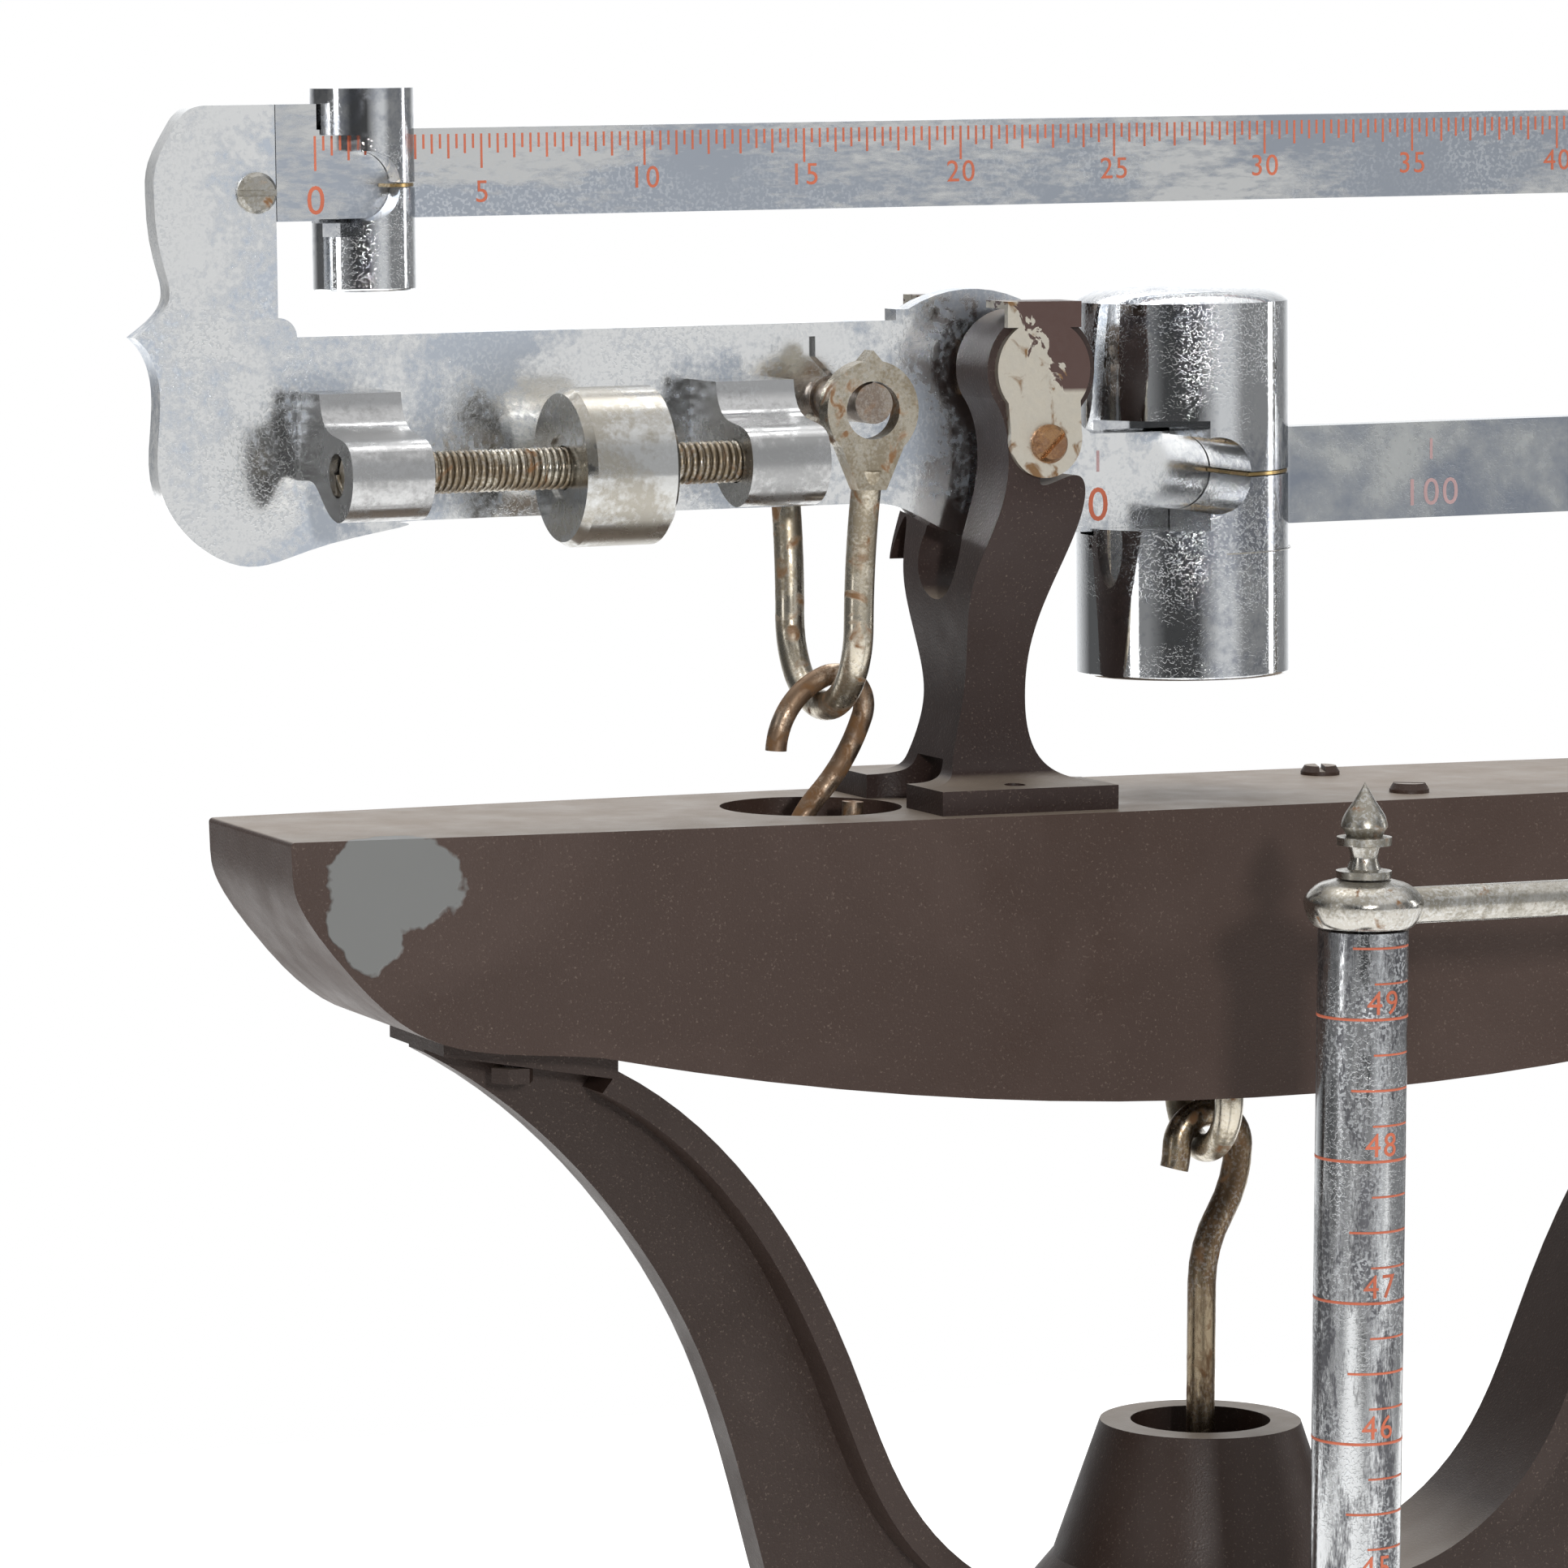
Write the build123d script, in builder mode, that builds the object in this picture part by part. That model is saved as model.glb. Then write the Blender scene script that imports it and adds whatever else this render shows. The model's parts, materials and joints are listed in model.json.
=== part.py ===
from build123d import *
from math import atan2, cos, degrees, radians, sin
import os

# A physician's beam scale with a height rod: a platform on levers, a column, and a two-bar beam on top.
# Millimetres. +Z is up and the floor is Z = 0. The column stands on X = 0 at the back of the base.
# The graduated side of the beam and the platform face -Y, and the beam's pointer end is at +X.
os.makedirs("parts", exist_ok=True)

INCH = 25.4
GAP = 0.3            # clearance between pieces that move past each other
RUNNING = 0.05       # radial clearance of a shaft in its hole

# ---------------------------------------------------------------- driving sizes
PLATFORM_TOP = 80.0  # top of the mat above the floor
SHELF_TOP = PLATFORM_TOP + 1275.0
COLUMN_Y = 180.0     # the column, the beam and the shelf share this plane
COLUMN_R = 28.5
COLUMN_WALL = 2.5

# shelf: a hollow boat-shaped casting that carries the beam
SHELF_HALF = 193.0
SHELF_END_HALF_DEPTH = 22.5
SHELF_MID_HALF_DEPTH = 30.0
SHELF_HEIGHT = 55.0
SHELF_WALL = 4.0
HOOK_HOLE_R = 17.0

# beam, measured in its own tilted plane from the main knife edge
BEAM_TILT = 0.9          # degrees, pointer end up
FULCRUM_X = -46.3
FULCRUM_H = 80.4         # knife edge above the shelf top
BEAM_T = 5.0
ZERO_S = -134.0          # the zero mark of the upper bar
UPPER_TOP = 47.0
UPPER_H = 15.9
LOWER_TOP = -12.2
LOWER_H = 18.4
LOWER_ZERO_S = 21.0
KNIFE_SEAT = 4.0         # from a knife's edge to the middle of its round seat
SEAT_R = 4.25
KNIFE_R = 3.7
LOAD_ARM = 33.9          # main knife edge to load knife edge
PLATE_LEFT = -164.3
PLATE_TOP = 10.2
END_PLATE_S = 205.0
POINTER_S = 257.0

# balance ball on its threaded rod
BALL_R = 14.3
BALL_L = 17.5
BALL_S = -87.2
BALL_N = -13.5
BALL_OUT = 20.5          # rod axis in front of the beam's face
SCREW_R = 3.95
SCREW_PITCH = INCH / 20
BRACKET_L = 15.4
BRACKET_LEFT_S = -138.3
BRACKET_RIGHT_S = -62.0

# poises
SMALL_R = 9.3
SMALL_H = 36.2
BIG_R = 20.2
BIG_H = 70.5
DOME_H = 3.0

# shelf lever
LEVER_Z = -16.0          # pin line below the shelf top
LEVER_LEFT_X = -80.5
LEVER_FULCRUM_X = 34.0
ROD_R = 2.75             # steelyard rod
HOOK_R = 2.0
LOOP_R = 2.75

# height rod
HEIGHT_X = -16.8
HEIGHT_Y = COLUMN_Y - 94.0
TUBE_R = 8.1
TUBE_WALL = 1.2
TUBE_TOP = PLATFORM_TOP + 49.6 * INCH
TUBE_LENGTH = 880.0
INNER_R = TUBE_R - TUBE_WALL - RUNNING
HEIGHT_TRAVEL = 28 * INCH
ARM_R = 3.3
ARM_LENGTH = 222.0

# base and platform
BASE_W = 292.0
BASE_D = 500.0
BASE_BOTTOM = 12.0
BASE_TOP = 70.0
BASE_WALL = 6.0
DECK_T = 5.0
PLATFORM_W = 266.0
PLATFORM_D = 356.0
PLATFORM_Y = -62.0
PLATFORM_GAP = 3.0
PLATE_T = 5.0
MAT_T = 3.0
LEVER_TOP = 44.0
LEVER_BAR_H = 14.0
LEVER_BAR_W = 9.0
LONG_FULCRUM_Y = -205.0
SHORT_FULCRUM_Y = 95.0
LEVER_LOAD_ARM = 25.0
LINK_Y = -30.0
# both load pins must sink by the same amount
SHORT_LOAD_ARM = LEVER_LOAD_ARM * (SHORT_FULCRUM_Y - LINK_Y) / (LINK_Y - LONG_FULCRUM_Y)
PIN_R = 4.0
PIN_Z = LEVER_TOP - LEVER_BAR_H / 2
WHEEL_R = 22.0

CA = cos(radians(BEAM_TILT))
SA = sin(radians(BEAM_TILT))


# ---------------------------------------------------------------- working planes
def beam_point(s, n, y=0.0):
    """A point of the tilted beam: s along it and n above it, from the main knife edge, y behind its middle."""
    return (
        FULCRUM_X + s * CA - n * SA,
        COLUMN_Y + y,
        SHELF_TOP + FULCRUM_H + s * SA + n * CA,
    )


def beam_face(y=0.0):
    """Sketch plane of the beam, seen from the front: local X runs along it, the normal is -Y."""
    return Plane(beam_point(0, 0, y), x_dir=(CA, 0, SA), z_dir=(0, -1, 0))


def beam_section(s, n=0.0, y=0.0):
    """Sketch plane across the beam at s: local X is +Y, local Y is up, the normal runs along the beam."""
    return Plane(beam_point(s, n, y), x_dir=(0, 1, 0), z_dir=(CA, 0, SA))


def beam_deck(s, n, y=0.0):
    """Sketch plane parallel to the beam's top edge: local X runs along the beam and the normal is up."""
    return Plane(beam_point(s, n, y), x_dir=(CA, 0, SA), z_dir=(-SA, 0, CA))


def head_face(y=0.0):
    """Upright sketch plane over the shelf, seen from the front: local Y is the height over the shelf top."""
    return Plane((0, COLUMN_Y + y, SHELF_TOP), x_dir=(1, 0, 0), z_dir=(0, -1, 0))


def head_side(x=0.0):
    """Upright sketch plane over the shelf, seen from +X: local X is +Y, local Y is the height."""
    return Plane((x, COLUMN_Y, SHELF_TOP), x_dir=(0, 1, 0), z_dir=(1, 0, 0))


def level(z, x=0.0, y=0.0):
    """Level sketch plane at height z, centred on x, y."""
    return Plane((x, y, z), x_dir=(1, 0, 0), z_dir=(0, 0, 1))


def facing(plane_point, direction, x_dir):
    """Sketch plane at a point with its normal along a direction."""
    return Plane(plane_point, x_dir=x_dir, z_dir=direction)


def save(builder, name):
    """Labels a finished piece and writes its STEP file."""
    builder.part.label = name
    export_step(builder.part, f"parts/{name}.step")


def slotted_screw(plane, shank_r, shank_l, head_r, head_h, turn=0.0, slot_w=1.2):
    """A round-headed screw: its head stands on the plane along its normal and its shank goes behind."""
    with BuildPart() as screw:
        with BuildSketch(plane):
            Circle(shank_r)
        extrude(amount=-shank_l)
        with BuildSketch(plane):
            Circle(head_r)
        extrude(amount=head_h * 0.35)
        with BuildSketch(plane.offset(head_h * 0.35)):
            Circle(head_r)
        extrude(amount=head_h * 0.65, taper=32)
        with BuildSketch(plane.offset(head_h * 0.45)):
            Rectangle(head_r * 2.4, slot_w, rotation=turn)
        extrude(amount=head_h, mode=Mode.SUBTRACT)
    return screw.part


def hex_bolt(plane, shank_r, shank_l, across, head_h):
    """A hexagon-headed bolt: its head stands on the plane along its normal and its shank goes behind."""
    with BuildPart() as bolt:
        with BuildSketch(plane):
            Circle(shank_r)
        extrude(amount=-shank_l)
        with BuildSketch(plane):
            RegularPolygon(across / 2, 6, major_radius=False)
        extrude(amount=head_h)
    return bolt.part


def group(pieces):
    """One node of several separate solids."""
    return Compound(children=list(pieces))


def save_group(pieces, name):
    """Labels a group of like fasteners and writes its STEP file."""
    whole = group(pieces)
    whole.label = name
    export_step(whole, f"parts/{name}.step")


def bent_wire(plane, start, heading, points, radius):
    """A round wire that leaves start along heading and follows tangent arcs through the points, all in a plane."""
    here = plane.from_local_coords(start)
    ahead = plane.x_dir * heading[0] + plane.y_dir * heading[1]
    with BuildPart() as wire:
        with BuildSketch(Plane(here, x_dir=plane.z_dir, z_dir=ahead)):
            Circle(radius)
        with BuildLine() as path:
            for point in points:
                arc = TangentArc(here, plane.from_local_coords(point), tangent=ahead)
                here = arc @ 1
                ahead = arc % 1
        sweep(path=path.line)
    return wire.part


# ================================================================ THE BEAM
# One flat casting: the ornamental left plate, the lower bar and the end plate with its pointer.
with BuildPart() as beam:
    with BuildSketch(beam_face(-BEAM_T / 2)):
        with BuildLine():
            top_y = UPPER_TOP + 4.6
            tab_s = ZERO_S - 7.5
            Line((tab_s, top_y), (tab_s - 13, top_y))
            Spline(
                (tab_s - 13, top_y), (PLATE_LEFT + 3.4, top_y - 4.6), (PLATE_LEFT, top_y - 14),
                tangents=((-1, 0), (0, -1)),
            )
            Spline(
                (PLATE_LEFT, top_y - 14), (PLATE_LEFT + 1.4, 24), (PLATE_LEFT + 2.3, 17), (PLATE_LEFT - 4, 10.8),
                tangents=((0, -1), (-0.8, -0.6)),
            )
            Spline(
                (PLATE_LEFT - 4, 10.8), (PLATE_LEFT, 4), (PLATE_LEFT, -15.4), (PLATE_LEFT + 5, -24.6),
                (PLATE_LEFT + 15.5, -30.4), (PLATE_LEFT + 31, -27.2), (PLATE_LEFT + 47, -24), (PLATE_LEFT + 62, -23.4),
                tangents=((0.8, -0.6), (1, 0)),
            )
            Line((PLATE_LEFT + 62, -23.4), (-26, -23.6))
            Spline((-26, -23.6), (-6, LOWER_TOP - LOWER_H), tangents=((1, 0), (1, -0.15)))
            Line((-6, LOWER_TOP - LOWER_H), (END_PLATE_S + 3, LOWER_TOP - LOWER_H))
            Spline(
                (END_PLATE_S + 3, LOWER_TOP - LOWER_H), (END_PLATE_S + 9, -20), (END_PLATE_S + 12, -5),
                (END_PLATE_S + 18, 1.0), (POINTER_S, 4.0),
                tangents=((1, 0), (1, 0.02)),
            )
            Line((POINTER_S, 4.0), (POINTER_S, 8.0))
            Spline(
                (POINTER_S, 8.0), (END_PLATE_S + 18, 11.0), (END_PLATE_S + 12, 17), (END_PLATE_S + 10, 30),
                (END_PLATE_S + 11, top_y - 8), (END_PLATE_S + 6, top_y),
                tangents=((-1, 0.02), (-1, 0)),
            )
            Line((END_PLATE_S + 6, top_y), (END_PLATE_S, top_y))
            Line((END_PLATE_S, top_y), (END_PLATE_S, LOWER_TOP + 4))
            RadiusArc((END_PLATE_S, LOWER_TOP + 4), (END_PLATE_S - 4, LOWER_TOP), 4)
            Line((END_PLATE_S - 4, LOWER_TOP), (20, LOWER_TOP))
            Spline((20, LOWER_TOP), (14, 2), (10, 10.6), tangents=((-1, 0.4), (-0.5, 0.8)))
            ThreePointArc((10, 10.6), (-4, 15.6), (-18, 12.2))
            Line((-18, 12.2), (-20.5, 12.2))
            Line((-20.5, 12.2), (-20.5, PLATE_TOP))
            Line((-20.5, PLATE_TOP), (tab_s + 3.5, PLATE_TOP))
            RadiusArc((tab_s + 3.5, PLATE_TOP), (tab_s, PLATE_TOP + 3.5), -3.5)
            Line((tab_s, PLATE_TOP + 3.5), (tab_s, top_y))
        make_face()
    extrude(amount=-BEAM_T)
    # clearance slot for the load knife, a diamond with a short saw cut over it
    with BuildSketch(beam_face(-BEAM_T / 2)):
        with Locations((-LOAD_ARM - 4.6, -1.2)):
            Rectangle(9.5, 9.5, rotation=45)
        with Locations((-LOAD_ARM - 4.2, 5.4)):
            Rectangle(2.4, 4.5)
    extrude(amount=-1.4, mode=Mode.SUBTRACT)
    # round seats that the two knives are driven into, and the screw holes of the upper bar
    with BuildSketch(beam_face(-BEAM_T / 2)):
        with Locations((0, KNIFE_SEAT), (-LOAD_ARM, -KNIFE_SEAT)):
            Circle(SEAT_R)
    extrude(amount=-BEAM_T, mode=Mode.SUBTRACT)
    with BuildSketch(beam_face(-BEAM_T / 2)):
        with Locations((ZERO_S - 11.2, 36.0), (END_PLATE_S + 5, 39.0)):
            Circle(1.6)
    extrude(amount=-BEAM_T, mode=Mode.SUBTRACT)
save(beam, "beam")

# The graduated upper bar. A tongue behind each end takes its screw.
with BuildPart() as upper_bar:
    bar_end = END_PLATE_S - GAP / 3
    tongue_t = 2.5
    with BuildSketch(beam_face(-BEAM_T / 2)):
        with Locations(((ZERO_S + bar_end) / 2, UPPER_TOP - UPPER_H / 2)):
            Rectangle(bar_end - ZERO_S, UPPER_H)
        with Locations((ZERO_S - 3.5, UPPER_TOP - 5.8)):
            Rectangle(7.7, 20.8)
    extrude(amount=-BEAM_T)
    with BuildSketch(beam_face(BEAM_T / 2)):
        with Locations((ZERO_S - 9.5, 36.0)):
            SlotOverall(19, 9)
        with Locations((END_PLATE_S + 3.1, 39.0)):
            Rectangle(9.8, 9)
    extrude(amount=-tongue_t)
    with BuildSketch(beam_face(BEAM_T / 2)):
        with Locations((ZERO_S - 11.2, 36.0), (END_PLATE_S + 5, 39.0)):
            Circle(1.6)
    extrude(amount=-tongue_t, mode=Mode.SUBTRACT)
save(upper_bar, "upper_bar")

save_group(
    (
        slotted_screw(
            Plane(beam_point(s, n, -BEAM_T / 2), x_dir=(CA, 0, SA), z_dir=(0, -1, 0)),
            1.6, BEAM_T + 2.5, 3.7, 1.7, turn=turn,
        )
        for s, n, turn in ((ZERO_S - 11.2, 36.0, 0), (END_PLATE_S + 5, 39.0, 40))
    ),
    "bar_screws",
)

# The two knives are driven through round seats. The load knife's edge points up into its loop,
# and the main knife's points down onto the bearings.
MAIN_KNIFE_HALF = 20.0
LOAD_KNIFE_HALF = 22.0
with BuildPart() as load_knife:
    with BuildSketch(beam_face(-LOAD_KNIFE_HALF)):
        with Locations((-LOAD_ARM, -KNIFE_SEAT)):
            Circle(KNIFE_R)
        with BuildLine():
            Polyline((-LOAD_ARM - 3.3, -2.4), (-LOAD_ARM, 0), (-LOAD_ARM + 3.3, -2.4), close=True)
        make_face()
    extrude(amount=-2 * LOAD_KNIFE_HALF)
    with BuildSketch(beam_face(-BEAM_T / 2)):
        with Locations((-LOAD_ARM, -KNIFE_SEAT)):
            Circle(SEAT_R)
    extrude(amount=-BEAM_T)
save(load_knife, "load_knife")

with BuildPart() as main_knife:
    with BuildSketch(beam_face(-MAIN_KNIFE_HALF)):
        with Locations((0, KNIFE_SEAT)):
            Circle(KNIFE_R)
        with BuildLine():
            Polyline((-3.3, 2.4), (0, 0), (3.3, 2.4), close=True)
        make_face()
    extrude(amount=-2 * MAIN_KNIFE_HALF)
    with BuildSketch(beam_face(-BEAM_T / 2)):
        with Locations((0, KNIFE_SEAT)):
            Circle(SEAT_R)
    extrude(amount=-BEAM_T)
save(main_knife, "main_knife")

# Two extruded brackets on the plate's face: a flat arm that flows down into a round boss.
def balance_bracket(s):
    """One bracket, its left face at s along the beam."""
    out = BALL_OUT
    with BuildPart() as bracket:
        with BuildSketch(beam_section(s, 0, -BEAM_T / 2)):
            with BuildLine():
                Line((0, 0.5), (-12, 0.5))
                Spline(
                    (-12, 0.5), (-15.5, -5.5), (-out - BRACKET_BOSS_R * 0.85, BALL_N + 4.4),
                    tangents=((-0.1, -1), (-0.8, -0.9)),
                )
                ThreePointArc(
                    (-out - BRACKET_BOSS_R * 0.85, BALL_N + 4.4),
                    (-out - BRACKET_BOSS_R, BALL_N),
                    (-out, BALL_N - BRACKET_BOSS_R),
                )
                Spline((-out, BALL_N - BRACKET_BOSS_R), (-8, -15.4), (0, -15.4), tangents=((1, 0.1), (1, 0)))
                Line((0, -15.4), (0, 0.5))
            make_face()
        extrude(amount=BRACKET_L)
        with BuildSketch(beam_section(s, BALL_N, -BEAM_T / 2 - out)):
            Circle(SCREW_R)
        extrude(amount=BRACKET_L, mode=Mode.SUBTRACT)
    return bracket.part


BRACKET_BOSS_R = 8.3
save_group((balance_bracket(s) for s in (BRACKET_LEFT_S, BRACKET_RIGHT_S)), "balance_brackets")

# The rod is driven into both bosses, and the ball's bush runs on it.
with BuildPart() as balance_screw:
    with BuildSketch(beam_section(BRACKET_LEFT_S + 1, BALL_N, -BEAM_T / 2 - BALL_OUT)):
        Circle(SCREW_R)
    extrude(amount=BRACKET_RIGHT_S + BRACKET_L - 1 - BRACKET_LEFT_S - 1)
save(balance_screw, "balance_screw")

BUSH_R = 6.0
with BuildPart() as ball_bush:
    with BuildSketch(beam_section(BALL_S - BALL_L / 2 + 0.6, BALL_N, -BEAM_T / 2 - BALL_OUT)):
        Circle(BUSH_R)
        Circle(SCREW_R + RUNNING, mode=Mode.SUBTRACT)
    extrude(amount=BALL_L - 1.2)
save(ball_bush, "ball_bush")

with BuildPart() as balance_ball:
    with BuildSketch(beam_section(BALL_S - BALL_L / 2, BALL_N, -BEAM_T / 2 - BALL_OUT)):
        Circle(BALL_R)
        Circle(BUSH_R + RUNNING, mode=Mode.SUBTRACT)
    extrude(amount=BALL_L)
    rims = balance_ball.edges().filter_by(GeomType.CIRCLE).group_by(SortBy.RADIUS)[-1]
    chamfer(rims.sort_by(Axis.X)[0], length=1.6, length2=1.0)
    chamfer(rims.sort_by(Axis.X)[-1], length=0.6)
save(balance_ball, "balance_ball")


# ================================================================ THE POISES
def poise_body(axis_s, top_n, height, radius, slot_top, slot_h, window_r, window_n, dome):
    """A drum with a slot for its bar, open to the front at the left where the index mark shows."""
    with BuildPart() as drum:
        with BuildSketch(beam_deck(axis_s, top_n)):
            Circle(radius)
        extrude(amount=-height)
        if dome > 1:
            with BuildSketch(beam_face(0)):
                with BuildLine():
                    Line((axis_s, top_n), (axis_s, top_n + dome))
                    Spline(
                        (axis_s, top_n + dome), (axis_s + radius, top_n),
                        tangents=((1, 0), (0.7, -0.72)),
                    )
                    Line((axis_s + radius, top_n), (axis_s, top_n))
                make_face()
            revolve(axis=Axis(beam_point(axis_s, 0), (-SA, 0, CA)))
        fillet(drum.edges().filter_by(GeomType.CIRCLE).sort_by(Axis.Z)[0], 0.6)
        # through slot for the bar
        with BuildSketch(beam_section(axis_s - radius - 1, 0)):
            with Locations((0, slot_top - slot_h / 2)):
                Rectangle(BEAM_T + 2 * POISE_PLAY, slot_h)
        extrude(amount=2 * radius + 2, mode=Mode.SUBTRACT)
        # window: a round cut from the front down to the bar, open to the left
        with BuildSketch(beam_face(-radius - 1)):
            with Locations((axis_s - window_r * 0.35, window_n)):
                Circle(window_r)
            with Locations((axis_s - radius, window_n)):
                Rectangle(2 * radius - window_r * 1.1, slot_h + 2 * POISE_PLAY)
        extrude(amount=-(radius + 1 - BEAM_T / 2 - POISE_PLAY), mode=Mode.SUBTRACT)
        # thin slit to the right, where the spring leaf shows
        with BuildSketch(beam_face(-radius - 1)):
            with Locations((axis_s + radius / 2, window_n)):
                Rectangle(radius + 2, 1.0)
        extrude(amount=-(radius + 1 - BEAM_T / 2 - POISE_PLAY), mode=Mode.SUBTRACT)
    return drum.part


POISE_PLAY = 0.35
SMALL_S = ZERO_S + 9.9
BIG_S = LOWER_ZERO_S + 18.9
poises = (
    ("small_poise", SMALL_S, UPPER_TOP + 7.3, SMALL_H, SMALL_R, UPPER_TOP, UPPER_H, 6.2, UPPER_TOP - 10.0, 0.0),
    ("big_poise", BIG_S, 12.3, BIG_H, BIG_R, LOWER_TOP, LOWER_H, 7.2, -19.8, DOME_H),
)
for name, axis_s, top_n, height, radius, slot_top, bar_h, window_r, window_n, dome in poises:
    body = poise_body(
        axis_s, top_n, height, radius, slot_top + POISE_PLAY + 0.4, bar_h + 2 * POISE_PLAY + 0.8,
        window_r, window_n, dome,
    )
    body.label = name
    export_step(body, f"parts/{name}.step")

# A brass leaf in each slit bears on the bar's face and keeps the poise where it is put.
for name, axis_s, radius, window_n in (
    ("small_poise_leaf", SMALL_S, SMALL_R, UPPER_TOP - 10.0),
    ("big_poise_leaf", BIG_S, BIG_R, -19.8),
):
    with BuildPart() as leaf:
        with BuildSketch(beam_deck(axis_s, window_n - 0.3)):
            Circle(radius - 0.25)
            with Locations((-radius * 0.55, 0)):
                Rectangle(radius * 1.5, 3 * radius, mode=Mode.SUBTRACT)
            with Locations((0, radius)):
                Rectangle(3 * radius, 2 * radius + BEAM_T + 2 * POISE_PLAY - 0.1, mode=Mode.SUBTRACT)
        extrude(amount=0.6)
    save(leaf, name)


# ================================================================ LINKS BELOW THE BEAM
LOAD_X, _, LOAD_Z = beam_point(-LOAD_ARM, 0)
LOAD_H = LOAD_Z - SHELF_TOP          # load knife edge above the shelf top
EYE_HOLE_R = 5.3
EYE_R = 9.1
EYE_T = 4.0
EYE_OUT = 19.8                       # middle of each eye from the beam's middle
LOOP_BOTTOM_H = 18.8                 # middle of the wire at the bottom of the loop


def stirrup(x, knife_h, eye_hole_r, eye_r, eye_t, eye_out, waist_out, bottom_h, wire_r):
    """A loop in two halves that straddles a bar: an eye at each side and a round wire bent under it."""
    eye_h = knife_h - eye_hole_r + RUNNING
    drop = eye_h - bottom_h
    with BuildPart() as loop:
        for side in (-1, 1):
            with BuildSketch(head_face(side * eye_out)):
                with Locations((x, eye_h)):
                    Circle(eye_r)
                with BuildLine():
                    reach = eye_r * 0.92
                    Polyline(
                        (x - reach, eye_h + 1.5), (x, eye_h + eye_r * 1.2), (x + reach, eye_h + 1.5), close=True,
                    )
                make_face()
                with BuildLine():
                    Polyline(
                        (x - eye_r * 0.86, eye_h - 3), (x - wire_r, eye_h - eye_r * 1.6),
                        (x + wire_r, eye_h - eye_r * 1.6), (x + eye_r * 0.86, eye_h - 3), close=True,
                    )
                make_face()
            extrude(amount=eye_t / 2, both=True)
        # the wire: down from one eye, round the bottom and up to the other, on tangent arcs
        wire_top = eye_h - eye_r * 1.15
        turn_h = bottom_h + waist_out
        flare = eye_out - waist_out
        flare_r = (flare**2 + (wire_top - turn_h) ** 2) / (2 * flare)
        lean = (wire_top - turn_h) / flare_r
        add(
            bent_wire(
                head_side(x), (-eye_out, wire_top), (lean, -((1 - lean**2) ** 0.5)),
                ((-waist_out, turn_h), (0, bottom_h), (waist_out, turn_h), (eye_out, wire_top)), wire_r,
            )
        )
        for side in (-1, 1):
            with BuildSketch(head_face(side * eye_out)):
                with Locations((x, eye_h)):
                    Circle(eye_hole_r)
            extrude(amount=eye_t / 2 + 2, both=True, mode=Mode.SUBTRACT)
    return loop


load_loop = stirrup(
    LOAD_X, LOAD_H, EYE_HOLE_R, EYE_R, EYE_T, EYE_OUT, EYE_OUT - 4.0, LOOP_BOTTOM_H, LOOP_R,
)
save(load_loop, "load_loop")

# The hook that joins the load loop to the shelf lever: over the loop's wire, and under the lever's pin.
HOOK_TOP = LOOP_BOTTOM_H + LOOP_R + HOOK_R + 2 * GAP
LEVER_PIN_R = 2.0
HOOK_BOTTOM = LEVER_Z - LEVER_PIN_R - HOOK_R - GAP
with BuildPart() as s_hook:
    add(
        bent_wire(
            head_face(0), (LOAD_X - 9.6, HOOK_TOP - 13.5), (0.05, 1),
            (
                (LOAD_X, HOOK_TOP),
                (LOAD_X + 7.9, HOOK_TOP - 7.5),
                (LOAD_X - 1.0, HOOK_TOP - 22.0),
                (LEVER_LEFT_X - 7.0, LEVER_Z + 2.5),
                (LEVER_LEFT_X, HOOK_BOTTOM),
                (LEVER_LEFT_X + 6.6, LEVER_Z + 3.0),
                (LEVER_LEFT_X + 6.4, 0.6),
            ),
            HOOK_R,
        )
    )
save(s_hook, "s_hook")


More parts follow.
